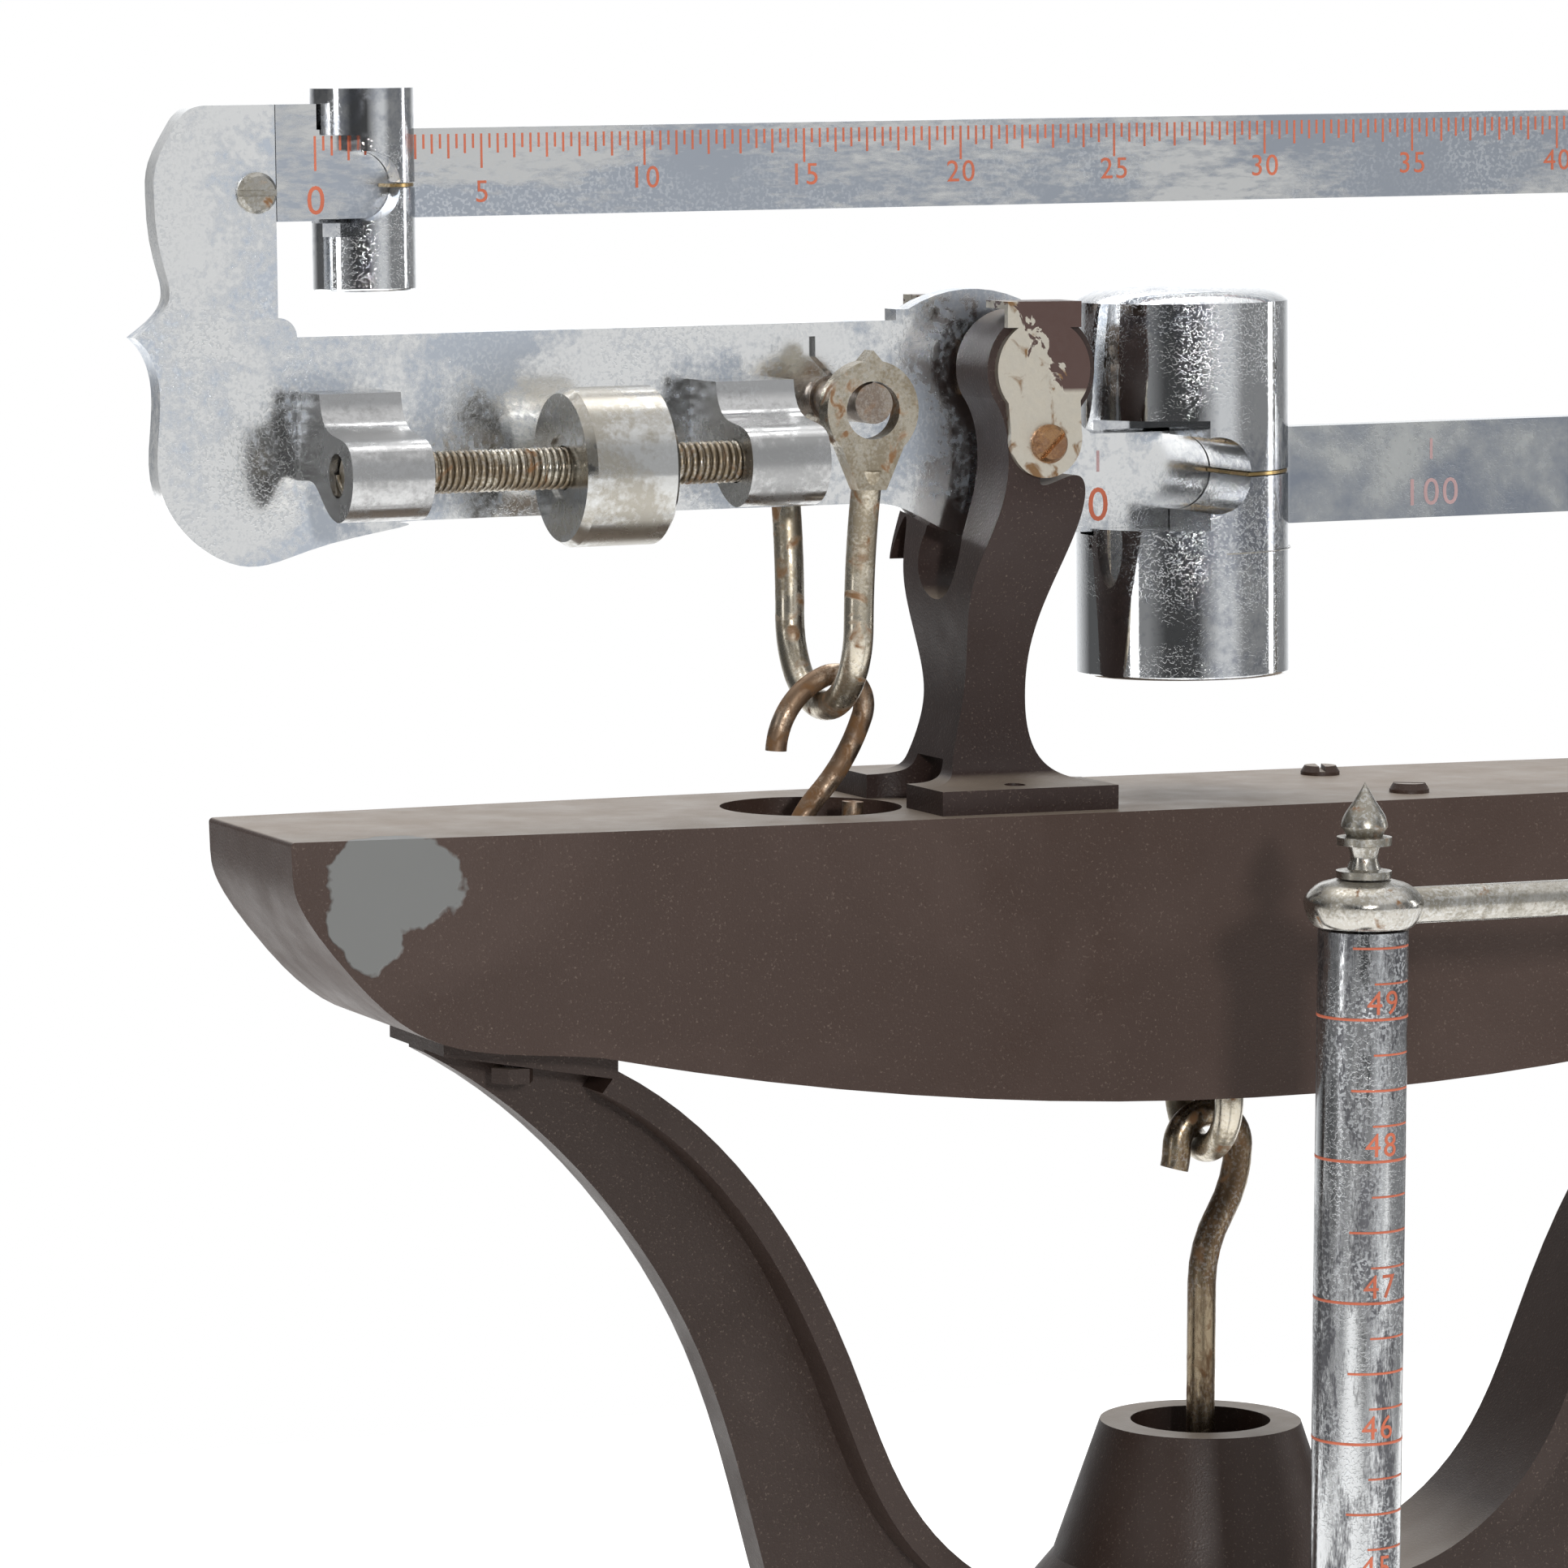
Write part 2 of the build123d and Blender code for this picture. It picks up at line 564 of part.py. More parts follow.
# ================================================================ FULCRUM STAND
STAND_X = -49.2          # stem and foot
STAND_GAP = 5.6          # between the beam's face and each arm
ARM_T = 13.6
HEAD_R = 10.9
FOOT_T = 4.5
FOOT_W = 36.0
HEAD_H = FULCRUM_H + 1.2
BLOCK_W = 11.0           # bearing block, square
POCKET_H = 14.0          # the pocket also clears the knife's back
arm_in = BEAM_T / 2 + STAND_GAP
arm_out = arm_in + ARM_T
with BuildPart() as stand:
    # seen from the front: round head, waist, and a flare down to the foot
    with BuildSketch(head_face(-arm_out - 5)):
        with BuildLine():
            Line((STAND_X - FOOT_W / 2, 0), (STAND_X + FOOT_W / 2, 0))
            Line((STAND_X + FOOT_W / 2, 0), (STAND_X + FOOT_W / 2, FOOT_T))
            Spline(
                (STAND_X + FOOT_W / 2, FOOT_T), (STAND_X + 9.0, FOOT_T + 4), (STAND_X + 6.4, 20),
                (STAND_X + 8.2, 42), (FULCRUM_X + 6.6, 62), (FULCRUM_X + 9.6, HEAD_H - 5.2),
                tangents=((-1, 0), (0.6, 0.8)),
            )
            ThreePointArc(
                (FULCRUM_X + 9.6, HEAD_H - 5.2), (FULCRUM_X, HEAD_H + HEAD_R), (FULCRUM_X - 9.6, HEAD_H - 5.2),
            )
            Spline(
                (FULCRUM_X - 9.6, HEAD_H - 5.2), (FULCRUM_X - 6.6, 62), (STAND_X - 8.2, 42),
                (STAND_X - 6.4, 20), (STAND_X - 9.0, FOOT_T + 4), (STAND_X - FOOT_W / 2, FOOT_T),
                tangents=((0.6, -0.8), (-1, 0)),
            )
            Line((STAND_X - FOOT_W / 2, FOOT_T), (STAND_X - FOOT_W / 2, 0))
        make_face()
    extrude(amount=-2 * (arm_out + 5))
    # seen from the side: two arms that leave room for the beam, one stem, two foot pads
    with BuildSketch(head_side(STAND_X - FOOT_W)):
        with BuildLine():
            crotch = 38.0
            stem = 8.5
            foot = 25.0
            Line((-foot, 0), (foot, 0))
            Line((foot, 0), (foot, FOOT_T))
            Spline((foot, FOOT_T), (stem + 2, FOOT_T + 3), (stem, 16), (stem + 3, 30), (arm_out - 1.8, 50),
                   (arm_out, 60), tangents=((-1, 0), (0, 1)))
            Line((arm_out, 60), (arm_out, HEAD_H + HEAD_R))
            Line((arm_out, HEAD_H + HEAD_R), (arm_in, HEAD_H + HEAD_R))
            Line((arm_in, HEAD_H + HEAD_R), (arm_in, crotch + 12))
            ThreePointArc((arm_in, crotch + 12), (0, crotch), (-arm_in, crotch + 12))
            Line((-arm_in, crotch + 12), (-arm_in, HEAD_H + HEAD_R))
            Line((-arm_in, HEAD_H + HEAD_R), (-arm_out, HEAD_H + HEAD_R))
            Line((-arm_out, HEAD_H + HEAD_R), (-arm_out, 60))
            Spline((-arm_out, 60), (1.8 - arm_out, 50), (-stem - 3, 30), (-stem, 16), (-stem - 2, FOOT_T + 3),
                   (-foot, FOOT_T), tangents=((0, -1), (-1, 0)))
            Line((-foot, FOOT_T), (-foot, 0))
        make_face()
    extrude(amount=2.5 * FOOT_W, mode=Mode.INTERSECT)
    # the foot is two pads, so the flat between them is cut away at both sides
    for side in (-1, 1):
        with BuildSketch(Plane.XY.offset(SHELF_TOP)):
            with Locations((STAND_X + side * (FOOT_W / 2 + 1), COLUMN_Y)):
                SlotOverall(24, 18)
        extrude(amount=FOOT_T + 4, mode=Mode.SUBTRACT)
    # pockets for the bearing blocks, and the screw holes
    for side in (-1, 1):
        with BuildSketch(head_face(side * (arm_in + ARM_T / 2))):
            with Locations((FULCRUM_X, HEAD_H + (POCKET_H - BLOCK_W) / 2)):
                Rectangle(BLOCK_W, POCKET_H)
        extrude(amount=ARM_T / 2, both=True, mode=Mode.SUBTRACT)
        with BuildSketch(head_face(side * arm_out)):
            with Locations((FULCRUM_X + 1.0, HEAD_H - 13.6)):
                Circle(1.7)
        extrude(amount=side * 9, mode=Mode.SUBTRACT)
    with BuildSketch(Plane.XY.offset(SHELF_TOP)):
        with Locations((STAND_X, COLUMN_Y - 18), (STAND_X, COLUMN_Y + 18)):
            Circle(2.0)
    extrude(amount=FOOT_T + 2, mode=Mode.SUBTRACT)
save(stand, "fulcrum_stand")


def bearing(side):
    """A hard steel block with a V in its top that a knife rocks in."""
    with BuildPart() as block:
        with BuildSketch(head_face(side * (arm_in + ARM_T / 2))):
            with Locations((FULCRUM_X, HEAD_H)):
                Rectangle(BLOCK_W, BLOCK_W)
            with BuildLine():
                Polyline(
                    (FULCRUM_X - 4.9, HEAD_H + 6), (FULCRUM_X - 3.9, FULCRUM_H + 1.2), (FULCRUM_X, FULCRUM_H - 0.05),
                    (FULCRUM_X + 3.9, FULCRUM_H + 1.2), (FULCRUM_X + 4.9, HEAD_H + 6), close=True,
                )
            make_face(mode=Mode.SUBTRACT)
        extrude(amount=ARM_T / 2, both=True)
    return block.part


save_group((bearing(side) for side in (-1, 1)), "fulcrum_bearings")

# A keyhole-shaped cover keeps dust off each bearing. Its top edge folds back over the arm.
CAP_T = 1.4


def bearing_cap(side):
    """One cover plate on the outer face of an arm."""
    with BuildPart() as cap:
        with BuildSketch(head_face(side * arm_out)):
            with Locations((FULCRUM_X, HEAD_H)):
                Circle(9.4)
            with Locations((FULCRUM_X + 0.6, HEAD_H - 12.6)):
                Circle(7.3)
            with BuildLine():
                Polyline(
                    (FULCRUM_X - 7.4, HEAD_H - 4), (FULCRUM_X - 6.6, HEAD_H - 12), (FULCRUM_X + 7.8, HEAD_H - 12),
                    (FULCRUM_X + 7.4, HEAD_H - 4), close=True,
                )
            make_face()
            with Locations((FULCRUM_X, HEAD_H + 12.4)):
                Rectangle(22, 6, mode=Mode.SUBTRACT)
            with Locations((FULCRUM_X + 1.0, HEAD_H - 13.6)):
                Circle(1.7, mode=Mode.SUBTRACT)
        extrude(amount=-side * CAP_T)
        with BuildSketch(head_face(side * arm_out)):
            with Locations((FULCRUM_X, HEAD_H + HEAD_R + 1.0)):
                Rectangle(15, 1.4)
        extrude(amount=side * 8.0)
        with BuildSketch(head_face(side * arm_out)):
            with Locations((FULCRUM_X, HEAD_H + HEAD_R - 0.7)):
                Rectangle(15, 4.8)
        extrude(amount=-side * CAP_T)
    return cap.part


save_group((bearing_cap(side) for side in (-1, 1)), "bearing_caps")
save_group(
    (
        slotted_screw(
            Plane(
                (FULCRUM_X + 1.0, COLUMN_Y + side * (arm_out + CAP_T), SHELF_TOP + HEAD_H - 13.6),
                x_dir=(1, 0, 0), z_dir=(0, side, 0),
            ),
            1.7, CAP_T + 8.5, 3.6, 2.0, turn=45,
        )
        for side in (-1, 1)
    ),
    "cap_screws",
)


# ================================================================ SHELF
def boat(half_length, end_half, mid_half):
    """The plan outline of the shelf: square ends and gently bowed sides."""
    with BuildSketch() as outline:
        with BuildLine():
            ThreePointArc((-half_length, -end_half), (0, -mid_half), (half_length, -end_half))
            Line((half_length, -end_half), (half_length, end_half))
            ThreePointArc((half_length, end_half), (0, mid_half), (-half_length, end_half))
            Line((-half_length, end_half), (-half_length, -end_half))
        make_face()
    return outline.sketch


def hull(half_length, height):
    """The side outline of the shelf: flat top, round ends, bellied bottom."""
    end_curve = ((0, 0), (1, -10), (9, -22), (24, -35.5), (58, -41))
    right = [(half_length - inset, z) for inset, z in end_curve]
    left = [(-x, z) for x, z in reversed(right)]
    with BuildSketch() as outline:
        with BuildLine():
            Line(left[-1], right[0])
            Spline(*right, tangents=((-0.05, -1), (-1, -0.12)))
            ThreePointArc(right[-1], (0, -height), left[0])
            Spline(*left, tangents=((-1, 0.12), (-0.05, 1)))
        make_face()
    return outline.sketch


SCREW_Y = 18.0
YOKE_BOLT_X = 146.0
YOKE_BOLT_Y = 9.5
YOKE_BOLT_SEAT = -44.2   # under the pads, from the shelf top
YOKE_BOLT_R = 2.0
YOKE_BOLTS = [(sx * YOKE_BOLT_X, COLUMN_Y + sy * YOKE_BOLT_Y) for sx in (-1, 1) for sy in (-1, 1)]
GUIDE_SHELF_X = SHELF_HALF - 8
GUIDE_SCREW_Y = 9.5
YOKE_PAD_IN = 127.0      # inner and outer ends of the pads that carry the shelf
YOKE_PAD_OUT = 164.0
with BuildPart() as shelf_outside:
    with BuildSketch(Plane((0, COLUMN_Y, SHELF_TOP), x_dir=(1, 0, 0), z_dir=(0, 0, 1))):
        add(boat(SHELF_HALF, SHELF_END_HALF_DEPTH, SHELF_MID_HALF_DEPTH))
    extrude(amount=-SHELF_HEIGHT - 2)
    with BuildSketch(head_face(-SHELF_MID_HALF_DEPTH - 5)):
        add(hull(SHELF_HALF, SHELF_HEIGHT))
    extrude(amount=-2 * SHELF_MID_HALF_DEPTH - 10, mode=Mode.INTERSECT)

with BuildPart() as shelf:
    add(shelf_outside.part)
    # hollow from below
    with BuildSketch(Plane((0, COLUMN_Y, SHELF_TOP - SHELF_WALL), x_dir=(1, 0, 0), z_dir=(0, 0, 1))):
        add(boat(YOKE_PAD_IN - 4, SHELF_END_HALF_DEPTH + 1.0, SHELF_MID_HALF_DEPTH - SHELF_WALL))
    extrude(amount=-SHELF_HEIGHT, mode=Mode.SUBTRACT)
    # the hole for the hook
    with BuildSketch(Plane.XY.offset(SHELF_TOP)):
        with Locations((LOAD_X - 2.5, COLUMN_Y)):
            Circle(HOOK_HOLE_R)
    extrude(amount=-SHELF_WALL, mode=Mode.SUBTRACT)
    # screw holes of the stand
    with BuildSketch(Plane.XY.offset(SHELF_TOP)):
        for x in (STAND_X, LEVER_FULCRUM_X):
            with Locations((x, COLUMN_Y - SCREW_Y), (x, COLUMN_Y + SCREW_Y)):
                Circle(2.0)
        with Locations((GUIDE_SHELF_X, COLUMN_Y - GUIDE_SCREW_Y), (GUIDE_SHELF_X, COLUMN_Y + GUIDE_SCREW_Y)):
            Circle(1.7)
    extrude(amount=-2 * SHELF_WALL, mode=Mode.SUBTRACT)
    # blind holes of the yoke's bolts
    with BuildSketch(level(SHELF_TOP + YOKE_BOLT_SEAT)):
        with Locations(YOKE_BOLTS):
            Circle(YOKE_BOLT_R)
    extrude(amount=14, mode=Mode.SUBTRACT)
    fillet(shelf.edges().filter_by(GeomType.LINE).filter_by(Axis.Y).sort_by(Axis.Z)[-2:], 0.8)
save(shelf, "shelf")

# ---------------------------------------------------------------- shelf lever and what hangs on it
LEVER_T = 6.0
LEVER_SEAT_R = 3.3
FORK_OUT = 5.0
with BuildPart() as shelf_lever:
    with BuildSketch(head_face(-LEVER_T / 2)):
        with BuildLine():
            left = LEVER_LEFT_X + 12.0
            Line((left, LEVER_Z + 5), (LEVER_FULCRUM_X + 8, LEVER_Z + 7))
            Line((LEVER_FULCRUM_X + 8, LEVER_Z + 7), (LEVER_FULCRUM_X + 8, LEVER_Z - 4))
            Spline(
                (LEVER_FULCRUM_X + 8, LEVER_Z - 4), (12, LEVER_Z - 8), (left, LEVER_Z - 5),
                tangents=((-1, -0.1), (-1, 0.1)),
            )
            Line((left, LEVER_Z - 5), (left, LEVER_Z + 5))
        make_face()
    extrude(amount=-LEVER_T)
    # fork for the hook at the left end
    with BuildSketch(Plane((left + 3, COLUMN_Y, SHELF_TOP + LEVER_Z), x_dir=(0, 1, 0), z_dir=(-1, 0, 0))):
        Rectangle(2 * FORK_OUT + 5, 10)
    extrude(amount=3)
    for side in (-1, 1):
        with BuildSketch(head_face(side * FORK_OUT)):
            with Locations((LEVER_LEFT_X, LEVER_Z)):
                Circle(5)
            with Locations(((LEVER_LEFT_X + left) / 2, LEVER_Z)):
                Rectangle(left - LEVER_LEFT_X, 10)
        extrude(amount=1.5, both=True)
    for side in (-1, 1):
        with BuildSketch(head_face(side * FORK_OUT)):
            with Locations((LEVER_LEFT_X, LEVER_Z)):
                Circle(LEVER_PIN_R)
        extrude(amount=2.5, both=True, mode=Mode.SUBTRACT)
    # seats of the load and fulcrum knives
    with BuildSketch(head_face(-LEVER_T / 2)):
        with Locations((0, LEVER_Z - 3.0), (LEVER_FULCRUM_X, LEVER_Z + 3.0)):
            Circle(LEVER_SEAT_R)
    extrude(amount=-LEVER_T, mode=Mode.SUBTRACT)
save(shelf_lever, "shelf_lever")

with BuildPart() as hook_pin:
    with BuildSketch(head_face(-FORK_OUT - 1.5)):
        with Locations((LEVER_LEFT_X, LEVER_Z)):
            Circle(LEVER_PIN_R)
    extrude(amount=-2 * FORK_OUT - 3)
save(hook_pin, "hook_pin")


def lever_knife(x, up, half_length):
    """A small knife of the shelf lever, its edge on the pin line and pointing up or down."""
    with BuildPart() as small_knife:
        with BuildSketch(head_face(-half_length)):
            with Locations((x, LEVER_Z - up * 3.0)):
                Circle(2.7)
            with BuildLine():
                Polyline((x - 2.4, LEVER_Z - up * 1.8), (x, LEVER_Z), (x + 2.4, LEVER_Z - up * 1.8), close=True)
            make_face()
        extrude(amount=-2 * half_length)
        with BuildSketch(head_face(-LEVER_T / 2)):
            with Locations((x, LEVER_Z - up * 3.0)):
                Circle(LEVER_SEAT_R)
        extrude(amount=-LEVER_T)
    return small_knife.part


save_group((lever_knife(0, 1, 13.0), lever_knife(LEVER_FULCRUM_X, -1, 14.0)), "lever_knives")

STEEL_LOOP_BOTTOM = -69.0
steelyard_loop = stirrup(0, LEVER_Z, 3.7, 7.0, 3.5, 10.8, 10.6, STEEL_LOOP_BOTTOM, LOOP_R)
save(steelyard_loop, "steelyard_loop")

# A hanger under the shelf holds the lever's fulcrum knife in two V notches.
HANGER_T = 3.0
HANGER_OUT = 9.5
with BuildPart() as lever_hanger:
    under = -SHELF_WALL
    with BuildSketch(Plane.XY.offset(SHELF_TOP + under)):
        with Locations((LEVER_FULCRUM_X, COLUMN_Y)):
            RectangleRounded(16, 46, 4)
    extrude(amount=-HANGER_T)
    for side in (-1, 1):
        with BuildSketch(head_face(side * HANGER_OUT)):
            with BuildLine():
                Polyline(
                    (LEVER_FULCRUM_X - 7, under), (LEVER_FULCRUM_X + 7, under), (LEVER_FULCRUM_X + 7, LEVER_Z - 9),
                    (LEVER_FULCRUM_X - 7, LEVER_Z - 9), close=True,
                )
            make_face()
            with BuildLine():
                Polyline(
                    (LEVER_FULCRUM_X - 4.6, LEVER_Z + 7), (LEVER_FULCRUM_X - 3.6, LEVER_Z + 0.8),
                    (LEVER_FULCRUM_X, LEVER_Z - 0.05), (LEVER_FULCRUM_X + 3.6, LEVER_Z + 0.8),
                    (LEVER_FULCRUM_X + 4.6, LEVER_Z + 7), close=True,
                )
            make_face(mode=Mode.SUBTRACT)
        extrude(amount=HANGER_T / 2, both=True)
    with BuildSketch(Plane.XY.offset(SHELF_TOP)):
        with Locations((LEVER_FULCRUM_X, COLUMN_Y - 18), (LEVER_FULCRUM_X, COLUMN_Y + 18)):
            Circle(2.0)
    extrude(amount=-20, mode=Mode.SUBTRACT)
save(lever_hanger, "lever_hanger")

save_group(
    (
        hex_bolt(
            Plane((STAND_X, COLUMN_Y + side * 18, SHELF_TOP - SHELF_WALL), x_dir=(1, 0, 0), z_dir=(0, 0, -1)),
            2.0, SHELF_WALL + FOOT_T - 1.0, 7.0, 2.8,
        )
        for side in (-1, 1)
    ),
    "stand_bolts",
)
save_group(
    (
        slotted_screw(
            Plane((LEVER_FULCRUM_X, COLUMN_Y + side * 18, SHELF_TOP), x_dir=(1, 0, 0), z_dir=(0, 0, 1)),
            2.0, SHELF_WALL + HANGER_T, 3.8, 1.8, turn=20 + 50 * side,
        )
        for side in (-1, 1)
    ),
    "hanger_screws",
)

# The beam guide at the right end of the shelf keeps the pointer between two stops.
GUIDE_HALF_OPEN = 9.5
GUIDE_MID = FULCRUM_H + 6
GUIDE_T = 8.0
GUIDE_FLANGE_T = 4.0
with BuildPart() as beam_guide:
    with BuildSketch(head_side(GUIDE_SHELF_X - GUIDE_T / 2)):
        with BuildLine():
            post = 5.0
            post_top = GUIDE_MID - GUIDE_HALF_OPEN - 6
            Polyline(
                (-13, 0), (13, 0), (13, GUIDE_FLANGE_T), (post + 1, GUIDE_FLANGE_T), (post, GUIDE_FLANGE_T + 3),
                (post, post_top), (-post, post_top), (-post, GUIDE_FLANGE_T + 3), (-post - 1, GUIDE_FLANGE_T),
                (-13, GUIDE_FLANGE_T), close=True,
            )
        make_face()
        with Locations((0, GUIDE_MID)):
            RectangleRounded(22, 2 * GUIDE_HALF_OPEN + 14, 6)
            RectangleRounded(13, 2 * GUIDE_HALF_OPEN, 2, mode=Mode.SUBTRACT)
    extrude(amount=GUIDE_T)
    with BuildSketch(Plane.XY.offset(SHELF_TOP)):
        with Locations((GUIDE_SHELF_X, COLUMN_Y - GUIDE_SCREW_Y), (GUIDE_SHELF_X, COLUMN_Y + GUIDE_SCREW_Y)):
            Circle(1.7)
    extrude(amount=GUIDE_FLANGE_T, mode=Mode.SUBTRACT)
save(beam_guide, "beam_guide")


# ================================================================ YOKE
YOKE_BOTTOM = -235.0
HUB_TOP = -122.0
HUB_TOP_R = 19.4
HUB_HOLE_R = 13.5
HUB_R = 30.5
SOCKET_DEPTH = 58.0
WEB_T = 8.0
FLANGE_D = 28.0
FLANGE_T = 5.0
inner_line = ((YOKE_PAD_IN, -45.5), (109, -58.5), (96, -73.5), (79.5, -104), (65, -134), (44, -150), (26, -153))
outer_line = ((YOKE_PAD_OUT - 3, -41.5), (128, -68), (106.5, -101), (92, -147), (74, -190), (50, -214), (28, -226))


def lyre_half(mirror_x):
    """Outline of one arm's web as a sketch, on the side that mirror_x gives."""
    with BuildSketch() as outline:
        with BuildLine():
            inner = [(mirror_x * x, z) for x, z in inner_line]
            outer = [(mirror_x * x, z) for x, z in outer_line]
            Spline(*inner)
            Line(inner[-1], (0, inner[-1][1]))
            Line((0, inner[-1][1]), (0, outer[-1][1]))
            Line((0, outer[-1][1]), outer[-1])
            Spline(*reversed(outer))
            Line(outer[0], (outer[0][0], -36.0))
            Line((outer[0][0], -36.0), (inner[0][0], -36.0))
            Line((inner[0][0], -36.0), inner[0])
        make_face()
    return outline.sketch


def flange_half(mirror_x):
    """Outline of one arm's inner flange: a band along the inner curve."""
    with BuildSketch() as outline:
        with BuildLine():
            inner = [(mirror_x * x, z) for x, z in inner_line]
            band = [(mirror_x * (x + FLANGE_T * dx), z + FLANGE_T * dz) for (x, z), (dx, dz) in zip(
                inner_line,
                ((0.62, -0.78), (0.72, -0.69), (0.8, -0.6), (0.88, -0.48), (0.8, -0.6), (0.2, -0.98), (0, -1)),
            )]
            Spline(*inner)
            Line(inner[-1], (0, inner[-1][1]))
            Line((0, inner[-1][1]), (0, band[-1][1]))
            Line((0, band[-1][1]), band[-1])
            Spline(*reversed(band))
            Line(band[0], inner[0])
        make_face()
    return outline.sketch


with BuildPart() as yoke:
    for side in (-1, 1):
        with BuildSketch(head_face(-WEB_T / 2)):
            add(lyre_half(side))
        extrude(amount=-WEB_T)
        with BuildSketch(head_face(-FLANGE_D / 2)):
            add(flange_half(side))
        extrude(amount=-FLANGE_D)
        # pad under the shelf
        with BuildSketch(head_face(-FLANGE_D / 2)):
            with BuildLine():
                Polyline(
                    (side * YOKE_PAD_IN, -36), (side * (YOKE_PAD_OUT - 3), -36),
                    (side * (YOKE_PAD_OUT - 3), -41), (side * YOKE_PAD_IN, -47), close=True,
                )
            make_face()
        extrude(amount=-FLANGE_D)
    # hub: a cone over a socket for the column
    with BuildSketch(Plane((0, COLUMN_Y, SHELF_TOP), x_dir=(1, 0, 0), z_dir=(0, -1, 0))):
        with BuildLine():
            Polyline(
                (0, HUB_TOP), (HUB_TOP_R, HUB_TOP), (HUB_R - 2.2, HUB_TOP - 26), (HUB_R + 3.5, HUB_TOP - 33),
                (HUB_R + 3.5, YOKE_BOTTOM + 6), (HUB_R + 6.5, YOKE_BOTTOM), (0, YOKE_BOTTOM), close=True,
            )
        make_face()
    revolve(axis=Axis((0, COLUMN_Y, 0), (0, 0, 1)))
    with BuildSketch(Plane((0, COLUMN_Y, SHELF_TOP + HUB_TOP), x_dir=(1, 0, 0), z_dir=(0, 0, 1))):
        Circle(HUB_HOLE_R)
    extrude(amount=-60, mode=Mode.SUBTRACT)
    with BuildSketch(Plane((0, COLUMN_Y, SHELF_TOP + YOKE_BOTTOM), x_dir=(1, 0, 0), z_dir=(0, 0, 1))):
        Circle(COLUMN_R)
    extrude(amount=SOCKET_DEPTH, mode=Mode.SUBTRACT)
    # the shelf's belly is let into the pads, and the bolts pass through them
    add(shelf_outside.part, mode=Mode.SUBTRACT)
    with BuildSketch(level(SHELF_TOP + YOKE_BOLT_SEAT)):
        with Locations(YOKE_BOLTS):
            Circle(YOKE_BOLT_R)
    extrude(amount=14, mode=Mode.SUBTRACT)
    with BuildSketch(level(SHELF_TOP + YOKE_BOLT_SEAT)):
        with Locations(YOKE_BOLTS):
            Circle(2 * YOKE_BOLT_R + 1)
    extrude(amount=-10, mode=Mode.SUBTRACT)
save(yoke, "yoke")

save_group(
    (
        hex_bolt(
            Plane((x, y, SHELF_TOP + YOKE_BOLT_SEAT), x_dir=(1, 0, 0), z_dir=(0, 0, -1)),
            YOKE_BOLT_R, 13.0, 7.0, 2.8,
        )
        for x, y in YOKE_BOLTS
    ),
    "yoke_bolts",
)

# ================================================================ COLUMN
BOSS_TOP = 100.0
COLUMN_BOTTOM = BASE_TOP
COLUMN_TOP = SHELF_TOP + YOKE_BOTTOM + SOCKET_DEPTH
with BuildPart() as column:
    with BuildSketch(Plane((0, COLUMN_Y, COLUMN_BOTTOM), x_dir=(1, 0, 0), z_dir=(0, 0, 1))):
        Circle(COLUMN_R)
        Circle(COLUMN_R - COLUMN_WALL, mode=Mode.SUBTRACT)
    extrude(amount=COLUMN_TOP - COLUMN_BOTTOM)
save(column, "column")


# ================================================================ HEIGHT ROD
CLAMP_H = 22.0
CLAMP_Z = (TUBE_TOP - 330.0, TUBE_TOP - TUBE_LENGTH + 60.0)
COLLAR_R = COLUMN_R + 6.0
EYE_WALL = 5.0
reach_x = HEIGHT_X
reach_y = HEIGHT_Y - COLUMN_Y


def rod_clamp(z):
    """A cast bracket: a collar round the column, an arm, and an eye round the height rod."""
    angle = degrees(atan2(reach_y, reach_x))
    length = (reach_x**2 + reach_y**2) ** 0.5
    with BuildPart() as clamp:
        with BuildSketch(Plane((0, COLUMN_Y, z - CLAMP_H / 2), x_dir=(1, 0, 0), z_dir=(0, 0, 1))):
            Circle(COLLAR_R)
        extrude(amount=CLAMP_H)
        with BuildSketch(Plane((HEIGHT_X, HEIGHT_Y, z - CLAMP_H / 2), x_dir=(1, 0, 0), z_dir=(0, 0, 1))):
            Circle(TUBE_R + EYE_WALL)
        extrude(amount=CLAMP_H)
        with BuildSketch(Plane((0, COLUMN_Y, z - 6), x_dir=(1, 0, 0), z_dir=(0, 0, 1))):
            with Locations((reach_x / 2, reach_y / 2)):
                Rectangle(length, 10, rotation=angle)
        extrude(amount=12)
        with BuildSketch(Plane((0, COLUMN_Y, z - CLAMP_H / 2), x_dir=(1, 0, 0), z_dir=(0, 0, 1))):
            Circle(COLUMN_R)
            with Locations((reach_x, reach_y)):
                Circle(TUBE_R)
        extrude(amount=CLAMP_H, mode=Mode.SUBTRACT)
        with BuildSketch(Plane((COLLAR_R + 1, COLUMN_Y, z), x_dir=(0, 1, 0), z_dir=(-1, 0, 0))):
            Circle(2.5)
        extrude(amount=8, mode=Mode.SUBTRACT)
    return clamp.part


for name, z in zip(("upper_rod_clamp", "lower_rod_clamp"), CLAMP_Z):
    clamp = rod_clamp(z)
    clamp.label = name
    export_step(clamp, f"parts/{name}.step")

save_group(
    (
        slotted_screw(
            Plane((COLLAR_R, COLUMN_Y, z), x_dir=(0, 1, 0), z_dir=(1, 0, 0)), 2.5, COLLAR_R - COLUMN_R, 4.4, 2.4,
            turn=25,
        )
        for z in CLAMP_Z
    ),
    "clamp_screws",
)

